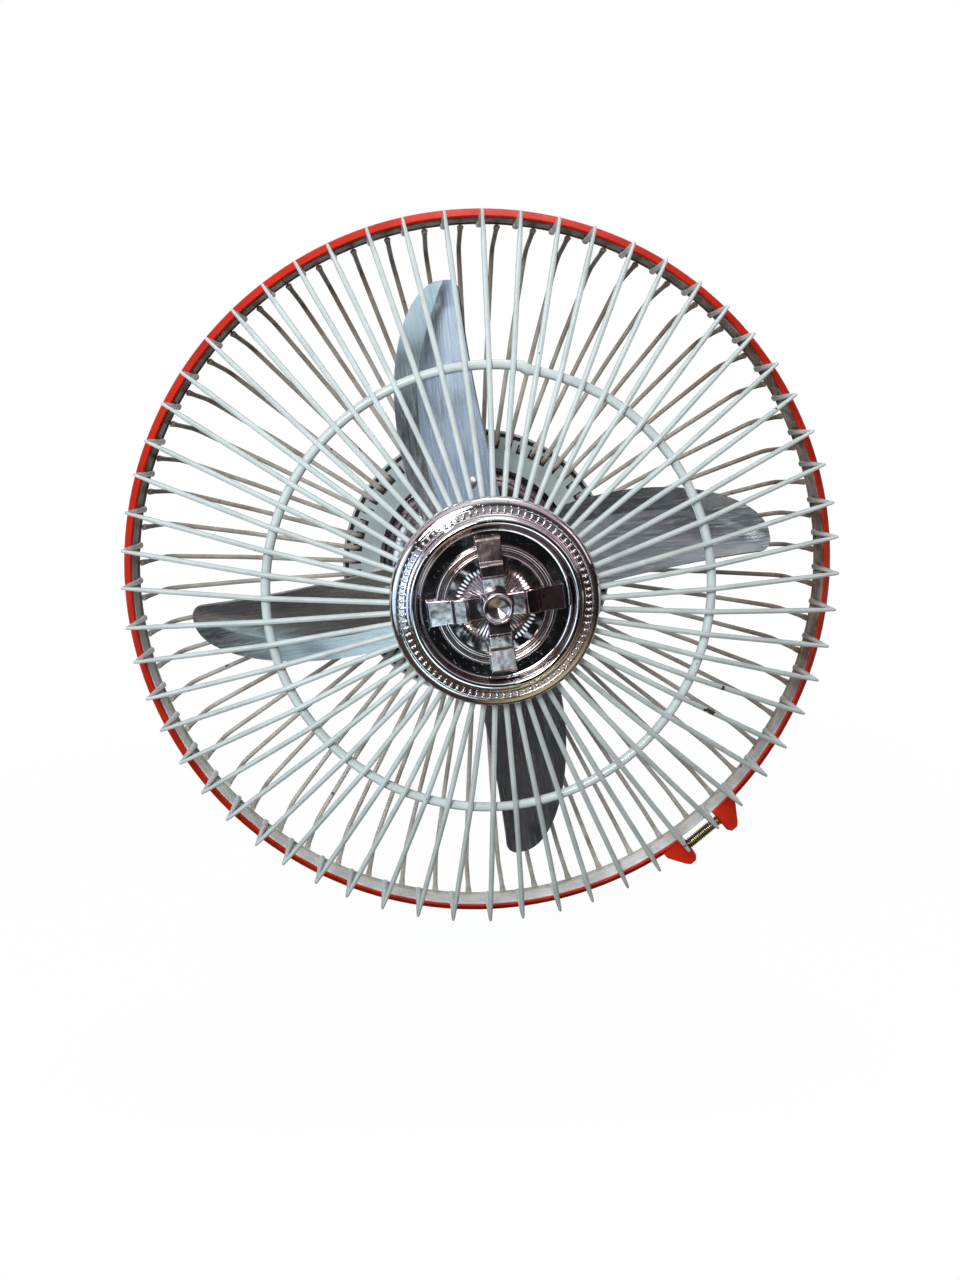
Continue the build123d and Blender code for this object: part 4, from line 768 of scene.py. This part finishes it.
ROTOR_RADIUS = 100.5
ROOT = 20.0
WIDEST = 55.0
LEAD = 23.0
LEAD_SWEEP = 5.5
TIP_LEAD = 2.5
STRIP = 8.0
FOLD = radians(18.0)
CORNER = 4.5
FOLD_TIP = TIP_LEAD - BLADE_SHEET * 0.8
TAIL = -3.0
TAIL_SWEEP = 7.0
TAIL_TIP = FOLD_TIP - 0.5


def leading(u):
    """How far the leading edge lies ahead of the arm."""
    if u < WIDEST:
        return LEAD - LEAD_SWEEP * ((WIDEST - u) / (WIDEST - ROOT)) ** 2
    x = (u - WIDEST) / (ROTOR_RADIUS - WIDEST)
    return TIP_LEAD + (LEAD - TIP_LEAD) * sqrt(max(0.0, 1 - x * x))


def folded(u):
    """How far the fold lies ahead of the arm."""
    if u < WIDEST:
        return leading(u) - STRIP
    x = (u - WIDEST) / (ROTOR_RADIUS - WIDEST)
    return FOLD_TIP + (LEAD - STRIP - FOLD_TIP) * (1 - x * x)


def trailing(u):
    """How far the trailing edge lies ahead of the arm; it is behind it, so this is negative."""
    corner = ROTOR_RADIUS - CORNER
    if u < corner:
        return TAIL - TAIL_SWEEP * ((corner - u) / (corner - ROOT)) ** 1.7
    return TAIL_TIP - (TAIL_TIP - TAIL) * sqrt(max(0.0, 1 - ((u - corner) / CORNER) ** 2))


ROWS = 56
COLUMNS = 18
FOLD_COLUMN = 11
HOLLOW = 0.8
HOLLOW_FROM = 42
HOLLOW_RUN = 30
HOLLOW_END = 9
TIP_ANGLE = 88.6
for number in range(4):
    blade = bmesh.new()
    bmesh.ops.create_grid(blade, x_segments=ROWS, y_segments=COLUMNS, size=0.5)
    uv = blade.loops.layers.uv.new("Sheet")
    for v in blade.verts:
        along = v.co.x + 0.5
        across = round((v.co.y + 0.5) * COLUMNS)
        u = ROOT + (ROTOR_RADIUS - ROOT) * sin(radians(TIP_ANGLE) * along)
        crease = folded(u) / cos(BLADE_PITCH)
        if across <= FOLD_COLUMN:
            tail = trailing(u) / cos(BLADE_PITCH)
            share = 1 - (1 - across / FOLD_COLUMN) ** 1.6
            y = tail + (crease - tail) * share
            ends_off = min(1.0, max(0.0, (u - HOLLOW_FROM) / HOLLOW_RUN), (ROTOR_RADIUS - u) / HOLLOW_END)
            rise = -HOLLOW * sin(pi * share) * ends_off
        else:
            run = (leading(u) - folded(u)) / cos(BLADE_PITCH - FOLD)
            share = ((across - FOLD_COLUMN) / (COLUMNS - FOLD_COLUMN)) ** 1.4
            y = crease + run * share * cos(FOLD)
            rise = run * share * sin(FOLD)
        v.co = Vector((u, y, rise + SPIDER_SHEET / 2 + BLADE_SHEET / 2))
    for face in blade.faces:
        for loop in face.loops:
            loop[uv].uv = loop.vert.co.xy * MM
    bmesh.ops.recalc_face_normals(blade, faces=blade.faces)
    bmesh.ops.solidify(blade, geom=blade.faces[:], thickness=BLADE_SHEET)
    bmesh.ops.transform(blade, matrix=on_arm(number), verts=blade.verts)
    name = f"blade_{number + 1}"
    fit(blade, name + "_sheet", "rotor", blade_metal, [name], RIM, sharp=radians(12))

# Front guard: 60 enamelled wires from under the cap, over the middle ring, to a hairpin at the rim.
# Each wire comes back to the rim strip, and every crossing is spot welded before the guard is sprayed.
WIRE_WHITE = (0.60, 0.685, 0.69, 1)
WIRE_DUST = (0.46, 0.515, 0.51, 1)
KNOCK = (0.076, -0.145, -0.037)
# Painted shade: near the rim, the wires' ends less than about 5 mm before it and more than 100 mm out are
# darkened brown at the top and sides.
front_enamel = enamel(
    "Front enamel", WIRE_WHITE, WIRE_DUST, PRIMER, 0.30, 0.03, coat=0.3, knock=KNOCK, painted_shade_behind=-0.117,
)
front_wires = bmesh.new()
FRONT_WIRE = 1.80
TIP = Vector((121.2, 0, 14.0))
LEG_END = Vector((117.7, 0, -3.0))
bend_wire(
    front_wires,
    [(27.0, 53.3), (73.24, 38.76), (TIP.x, TIP.z), (LEG_END.x, LEG_END.z)],
    FRONT_WIRE,
    bends=[30.0, 1.1],
    bend_steps=6,
)
ring_cuts(
    front_wires,
    *[((radius, 0, 0), (1, 0, 0)) for radius in (111.0, 114.5, 118.5)],
    *[((0, 0, forward), (0, 0, 1)) for forward in (10.0, 5.5, 1.5)],
)
BEND_NARROWER = 0.40
BEND_REACH = 11
FOOT_WIDER = 0.30
FOOT_RUN = 4.5
for v in front_wires.verts:
    v.co.y *= 1 - BEND_NARROWER * max(0.0, 1 - (v.co - TIP).length / BEND_REACH)
    v.co.y *= 1 + FOOT_WIDER * max(0.0, 1 - (v.co.z - LEG_END.z) / FOOT_RUN)
all_round(front_wires, 0.6, 0.22)
fit(front_wires, "front_wires_bent", "head", front_enamel, ["front_guard_wires"], RIM)

# Middle ring: a thicker wire of the same enamelled steel, welded behind the front wires half way out.
# It is bent round and butt welded near the top, where its ends don't quite meet.
MID_RADIUS = 72.3
MID_AT = 36.5
MID_WIRE = 3.1
WELD_ANGLE = radians(81.5)
WELD_SWELL = 0.32
WELD_HALF = 2.6
ENDS_OFF = 0.45
ENDS_RUN = 30
ENDS_MEET = 0.7
mid_ring = bmesh.new()
hoop(mid_ring, MID_RADIUS, MID_AT, MID_WIRE, steps=240)
for v in mid_ring.verts:
    past = (atan2(v.co.y, v.co.x) - WELD_ANGLE + pi) % (2 * pi) - pi
    arc = past * MID_RADIUS
    swell = WELD_SWELL * max(0.0, 1 - abs(arc) / WELD_HALF)
    middle = Vector((v.co.x, v.co.y, 0)).normalized() * MID_RADIUS + Vector((0, 0, MID_AT))
    v.co = middle + (v.co - middle) * (1 + swell)
    if abs(arc) < ENDS_RUN:
        step = -ENDS_OFF * (1 - abs(arc) / ENDS_RUN) * (1 if arc < 0 else -1)
        if abs(arc) < ENDS_MEET:
            step *= abs(arc) / ENDS_MEET
        v.co += Vector((v.co.x, v.co.y, 0)).normalized() * step
fit(mid_ring, "mid_ring_round", "head", front_enamel, ["front_mid_ring"], RIM)

# Rim strip: a flat steel strip rolled on edge, with the front wires' ends welded to its inside.
# It is sprayed with the guard; its enamel is whiter than the wires' and dull with dust, and a painted brown
# shade darkens it at the top and sides.
strip = bmesh.new()
turned(
    strip,
    [(118.62, -3.30, 0.25), (119.60, 1.45, 0.25), (120.38, 1.30, 0.25), (119.40, -3.45, 0.25)],
    steps=180,
)
# Painted shade: brown over the top and sides of the strip.
strip_enamel = enamel(
    "Strip enamel", (0.80, 0.84, 0.84, 1), (0.52, 0.50, 0.48, 1), PRIMER, 0.42, 0.05, coat=0.0,
    painted_shade_behind=-0.122,
)
fit(strip, "rim_strip_rolled", "head", strip_enamel, ["front_rim_strip"], RIM)

# Clamp band: a channel rolled from thin sheet, red, that holds both halves of the guard together.
# Its ends are folded out into two ears with a screw across the gap between them.
RED = (0.56, 0.022, 0.006, 1)
RED_DULL = (0.40, 0.014, 0.005, 1)
red_enamel = enamel("Red enamel", RED, RED_DULL, (0.10, 0.030, 0.025, 1), 0.42, 0.04, coat=0.06, ior=1.25)
GAP_ANGLE = radians(310.15)
GAP_HALF = 7.15
BAND_SHEET = 0.9
BAND_INSIDE = 122.05
BAND_OUTSIDE = BAND_INSIDE + BAND_SHEET
LIP = 119.85
BAND_FRONT = 2.75
BAND_BACK = -7.76
WEB_FRONT = -0.085
WEB_BACK = -4.92
band = bmesh.new()
open_half = asin(GAP_HALF / 121.0)
ease = BAND_SHEET * tan(radians(22.5))
turned(
    band,
    [
        (LIP, 2.115, 0.15), (BAND_INSIDE, WEB_FRONT, 0.9), (BAND_INSIDE, WEB_BACK, 0.9), (LIP, -7.12, 0.15),
        (LIP + 0.636, BAND_BACK, 0.15), (BAND_OUTSIDE, WEB_BACK - ease, 1.3),
        (BAND_OUTSIDE, WEB_FRONT + ease, 1.3), (LIP + 0.636, BAND_FRONT, 0.15),
    ],
    steps=180, sweep=2 * pi - 2 * open_half, start=GAP_ANGLE + open_half,
)
EAR_TOP = 129.99
EAR_BACK = -7.99
EAR_WIDTH = 10.97
EAR_BASE = 8.7
EAR_END = 4.9
EAR_CHAMFER = 1.3
EAR_FOLD = 1.3
for side in (1, -1):
    ear = bmesh.new()
    outline = [
        (LIP + 0.4, GAP_HALF), (EAR_TOP - EAR_CHAMFER, GAP_HALF), (EAR_TOP, GAP_HALF + EAR_CHAMFER),
        (EAR_TOP, GAP_HALF + EAR_END - EAR_CHAMFER), (EAR_TOP - EAR_CHAMFER, GAP_HALF + EAR_END),
        (BAND_OUTSIDE - 0.5, GAP_HALF + EAR_BASE), (LIP + 0.4, GAP_HALF + EAR_BASE),
    ]
    corners = [ear.verts.new((x, side * y, EAR_BACK)) for x, y in outline]
    raised(ear, ear.faces.new(corners), (0, 0, EAR_WIDTH))
    bmesh.ops.recalc_face_normals(ear, faces=ear.faces)
    open_faces = [
        f for f in ear.faces
        if abs(f.normal.z) < 0.5 and abs(f.calc_center_median().y * side - GAP_HALF) > 0.3
    ]
    bmesh.ops.delete(ear, geom=open_faces, context="FACES")
    folds = [e for e in ear.edges if e.is_manifold and e.calc_face_angle() > 0.5]
    bmesh.ops.bevel(
        ear, geom=folds, offset=EAR_FOLD, offset_type="OFFSET", affect="EDGES",
        segments=3, profile=0.5, material=-1,
    )
    bmesh.ops.solidify(ear, geom=ear.faces[:], thickness=BAND_SHEET)
    bmesh.ops.rotate(ear, cent=(0, 0, 0), matrix=Matrix.Rotation(GAP_ANGLE, 3, "Z"), verts=ear.verts)
    move_into(band, ear)
fit(band, "clamp_band_rolled", "head", red_enamel, ["clamp_band"], RIM)

# Clamp screw and nut: an M4 steel screw with yellow zinc plating, its rolled thread open to view.
# The thread has a pitch of 0.7 mm, and the nut sits against the outside of the lower ear.
zinc = bare_metal("Zinc plating", (0.46, 0.41, 0.27, 1), (0.24, 0.21, 0.13, 1), 0.34)
EAR_SEAT = 8.15
SCREW_RADIUS = 125.49
SCREW_AT = -2.503
SCREW_LENGTH = 22.6
SCREW_END = EAR_SEAT - SCREW_LENGTH
PITCH = 0.7
CORE_RADIUS = 1.45
THREAD_RADIUS = 1.98
TURN_STEPS = 16
across_gap = (
    Matrix.Rotation(GAP_ANGLE, 4, "Z")
    @ Matrix.Translation((SCREW_RADIUS, 0, SCREW_AT))
    @ Matrix.Rotation(-pi / 2, 4, "X")
)
screw = bmesh.new()
crest = [(CORE_RADIUS, 0.0), (THREAD_RADIUS, 0.27), (THREAD_RADIUS, 0.38), (CORE_RADIUS, PITCH)]
thread = [screw.verts.new((radius, 0, SCREW_END + at)) for radius, at in crest]
thread_edges = [screw.edges.new(pair) for pair in zip(thread, thread[1:])]
turns = int((EAR_SEAT - SCREW_END) / PITCH) - 1
bmesh.ops.spin(
    screw, geom=thread + thread_edges, cent=(0, 0, 0), axis=(0, 0, 1), angle=2 * pi * turns,
    steps=TURN_STEPS * turns, dvec=(0, 0, PITCH / TURN_STEPS), use_merge=False,
)
bmesh.ops.remove_doubles(screw, verts=screw.verts, dist=1e-3)
bmesh.ops.holes_fill(screw, edges=[e for e in screw.edges if e.is_boundary], sides=0)
head = bmesh.new()
turned(
    head,
    [(ON_AXIS, EAR_SEAT + 2.8, 0), (2.4, EAR_SEAT + 2.75, 0.6), (3.3, EAR_SEAT + 1.8, 0.6),
     (3.3, EAR_SEAT, 0.1), (ON_AXIS, EAR_SEAT, 0)],
    steps=32, closed=False,
)
cut_slot(head, EAR_SEAT + 1.7, 0.5, 0.9)
move_into(screw, head)
fit(screw, "clamp_screw_threaded", "rim_screw", zinc, ["clamp_screw"], RIM @ across_gap)
fit(eased("clamp_nut", 0.0003), "clamp_nut_hex", "head", zinc, ["clamp_nut"])

# Hub plate, cap stud and nut: a plated disc behind the cap that carries the wires' inner ends.
# The stud passes through the disc, and its nut draws the cap against it.
hub_steel = bare_metal("Hub plate steel", (0.50, 0.51, 0.50, 1), (0.30, 0.28, 0.25, 1), 0.38)
fit(eased("front_hub_plate", 0.0002), "hub_plate_disc", "head", hub_steel, ["front_hub_plate"])
fit(eased("cap_screw", 0.0003), "cap_stud", "head", plain_steel, ["cap_screw"])
fit(eased("cap_nut", 0.0003), "cap_nut_hex", "head", zinc, ["cap_nut"])

# Hub cap: a bright plated shell with a rounded rim, a row of beads, a raised roll and a deep recess.
# It is drawn from thin sheet.
chrome = plated("Bright plating", (0.64, 0.65, 0.66, 1), (0.54, 0.50, 0.51, 1), (0.10, 0.08, 0.07, 1), 0.04)
CAP_RADIUS = 33.0
CAP_INSIDE = 32.2
CAP_BACK = 52.87
CROWN = 57.77
ROLL_AT = 59.47
FLOOR_AT = 57.27
SEAT_AT = 55.14
SEAT_BACK = 54.34
cap = bmesh.new()
turned(
    cap,
    [
        (CAP_RADIUS, CAP_BACK, 0.2), (CAP_RADIUS, CROWN, 2.4), (30.6, CROWN + 0.1, 0.4),
        (30.2, CROWN - 0.25, 0.2), (28.3, CROWN + 0.55, 0.2), (27.9, ROLL_AT - 0.3, 0.3),
        (27.1, ROLL_AT, 0.3), (26.9, ROLL_AT + 1.4, 0.9), (24.7, ROLL_AT + 1.4, 0.9),
        (24.5, ROLL_AT - 0.6, 0.3), (23.6, FLOOR_AT, 0.8), (22.6, FLOOR_AT, 0), (12.0, FLOOR_AT, 0.5),
        (11.2, SEAT_AT, 0.3), (2.1, SEAT_AT, 0), (2.1, SEAT_BACK, 0), (11.6, SEAT_BACK, 0),
        (12.4, FLOOR_AT - 0.8, 0), (24.6, FLOOR_AT - 0.8, 0.5), (25.3, ROLL_AT - 0.4, 0.3),
        (27.1, ROLL_AT - 0.8, 0.3), (30.4, CROWN - 0.9, 0.5), (CAP_INSIDE, CROWN - 1.8, 0.8),
        (CAP_INSIDE, CAP_BACK, 0.2),
    ],
    steps=160,
)
BEADS = 85
BEAD_CIRCLE = 29.25
BEAD_RADIUS = 0.62
beads = bmesh.new()
bmesh.ops.create_uvsphere(beads, u_segments=8, v_segments=6, radius=BEAD_RADIUS)
tilted = Matrix.Rotation(0.42, 4, "Y") @ Matrix.Diagonal((1.25, 1.0, 0.8, 1))
bead_at = Matrix.Translation((BEAD_CIRCLE, 0, CROWN + 0.35)) @ tilted
bmesh.ops.transform(beads, matrix=bead_at, verts=beads.verts)
copied_round(beads, BEADS)
move_into(cap, beads)
fit(cap, "hub_cap_shell", "head", chrome, ["hub_cap"], RIM)

# Medallion: the raised middle of the cap, die cast and plated, with rings, rays and a four-armed cross.
# The arms step down from a dimpled boss, and the casting's plating is duller than the cap's.
DULLED = (0.46, 0.44, 0.455, 1)
DULLED_WARM = (0.30, 0.23, 0.235, 1)
old_plating = plated("Dulled plating", DULLED, DULLED_WARM, (0.05, 0.04, 0.04, 1), 0.12, waves=0.0002)
RAYS = 120
RAY_UP = 0.22
RAY_DOWN = -0.10
FACE_AT = FLOOR_AT + 1.9
medallion = bmesh.new()
turned(
    medallion,
    [
        *[(radius, FACE_AT, 0) for radius in (ON_AXIS, 4.0, 6.0, 9.5, 13.0, 15.2)],
        (15.4, FLOOR_AT + 2.9, 0.3), (16.3, FLOOR_AT + 2.9, 0.3), (16.5, FLOOR_AT + 2.3, 0.2),
        (17.3, FLOOR_AT + 2.3, 0.2), (17.5, FLOOR_AT + 3.5, 0.5), (18.8, FLOOR_AT + 3.5, 0.6),
        (19.0, FLOOR_AT, 0), (ON_AXIS, FLOOR_AT, 0),
    ],
    steps=RAYS, closed=False,
)
for v in medallion.verts:
    radius = v.co.xy.length
    if 5 < radius < 14 and v.co.z > FLOOR_AT + 1:
        ray = round(atan2(v.co.y, v.co.x) * RAYS / (2 * pi))
        v.co.z += RAY_UP if ray % 2 else RAY_DOWN
        v.co.z += 0.14 * sin(ray * 0.9 + radius)
arm_side = [
    (3.0, 0.6), (21.4, 0.6), (21.4, 2.8), (20.7, 3.5), (13.8, 4.5), (13.3, 5.3), (12.9, 5.9),
    (9.4, 6.2), (8.8, 5.4), (3.0, 5.0),
]
ARM_WIDTH = 7.0
CROSS_TURN = radians(7.5)
for k in range(4):
    arm = bmesh.new()
    corners = [arm.verts.new((x, -ARM_WIDTH / 2, FLOOR_AT + z)) for x, z in arm_side]
    raised(arm, arm.faces.new(corners), (0, ARM_WIDTH, 0))
    bmesh.ops.bevel(
        arm, geom=[e for e in arm.edges if e.calc_face_angle(0) > 0.3], offset=0.28, offset_type="OFFSET",
        affect="EDGES", segments=2, profile=0.5, material=-1,
    )
    for v in arm.verts:
        v.co.y *= 0.90 + 0.011 * v.co.x
    round_to = Matrix.Rotation(CROSS_TURN + k * pi / 2, 3, "Z")
    bmesh.ops.rotate(arm, cent=(0, 0, 0), matrix=round_to, verts=arm.verts)
    move_into(medallion, arm)
boss = bmesh.new()
turned(
    boss,
    [
        (ON_AXIS, FLOOR_AT + 8.7, 0), (3.3, FLOOR_AT + 9.9, 0.4), (3.7, FLOOR_AT + 10.3, 0.2),
        (4.2, FLOOR_AT + 10.7, 0.3), (4.9, FLOOR_AT + 10.2, 0.4), (5.0, FLOOR_AT + 5.0, 0.3),
        (5.4, FLOOR_AT + 1.0, 0), (ON_AXIS, FLOOR_AT + 1.0, 0),
    ],
    steps=64, closed=False,
)
move_into(medallion, boss)
fit(medallion, "medallion_casting", "head", old_plating, ["cap_medallion"], RIM)

# Inner working parts, which only show when the motor is open: magnets, armature, commutator and brushes.
# They keep their plain shapes, in ferrite, laminated steel, varnished copper, bronze, board and carbon.
ferrite = bare_metal("Ferrite", (0.06, 0.06, 0.065, 1), (0.11, 0.10, 0.10, 1), 0.62)
copper = bare_metal("Varnished copper", (0.45, 0.17, 0.07, 1), (0.30, 0.10, 0.04, 1), 0.30)
bronze = bare_metal("Sintered bronze", (0.50, 0.34, 0.16, 1), (0.34, 0.22, 0.11, 1), 0.48)
laminated = bare_metal(
    "Laminated steel", (0.40, 0.40, 0.41, 1), (0.22, 0.20, 0.18, 1), 0.36, stretch=(0.05, 1.0, 0.05)
)
carbon, *_ = grained(
    "Carbon", (0.010, 0.010, 0.010, 1), (0.045, 0.045, 0.048, 1), 1800.0, 3.0, Roughness=0.6
)
inner_parts = {
    "field_magnets": ferrite, "armature_core": laminated, "armature_windings": copper, "commutator": copper,
    "shaft_spacers": plain_steel, "front_bush": bronze, "rear_bush": bronze, "brush_plate": fibre,
    "brush_boxes": bronze, "brushes": carbon, "brush_springs": plain_steel, "hub_grub_screw": plain_steel,
}
for node, finish in inner_parts.items():
    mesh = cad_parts[node].data
    mesh.materials.clear()
    mesh.materials.append(finish)
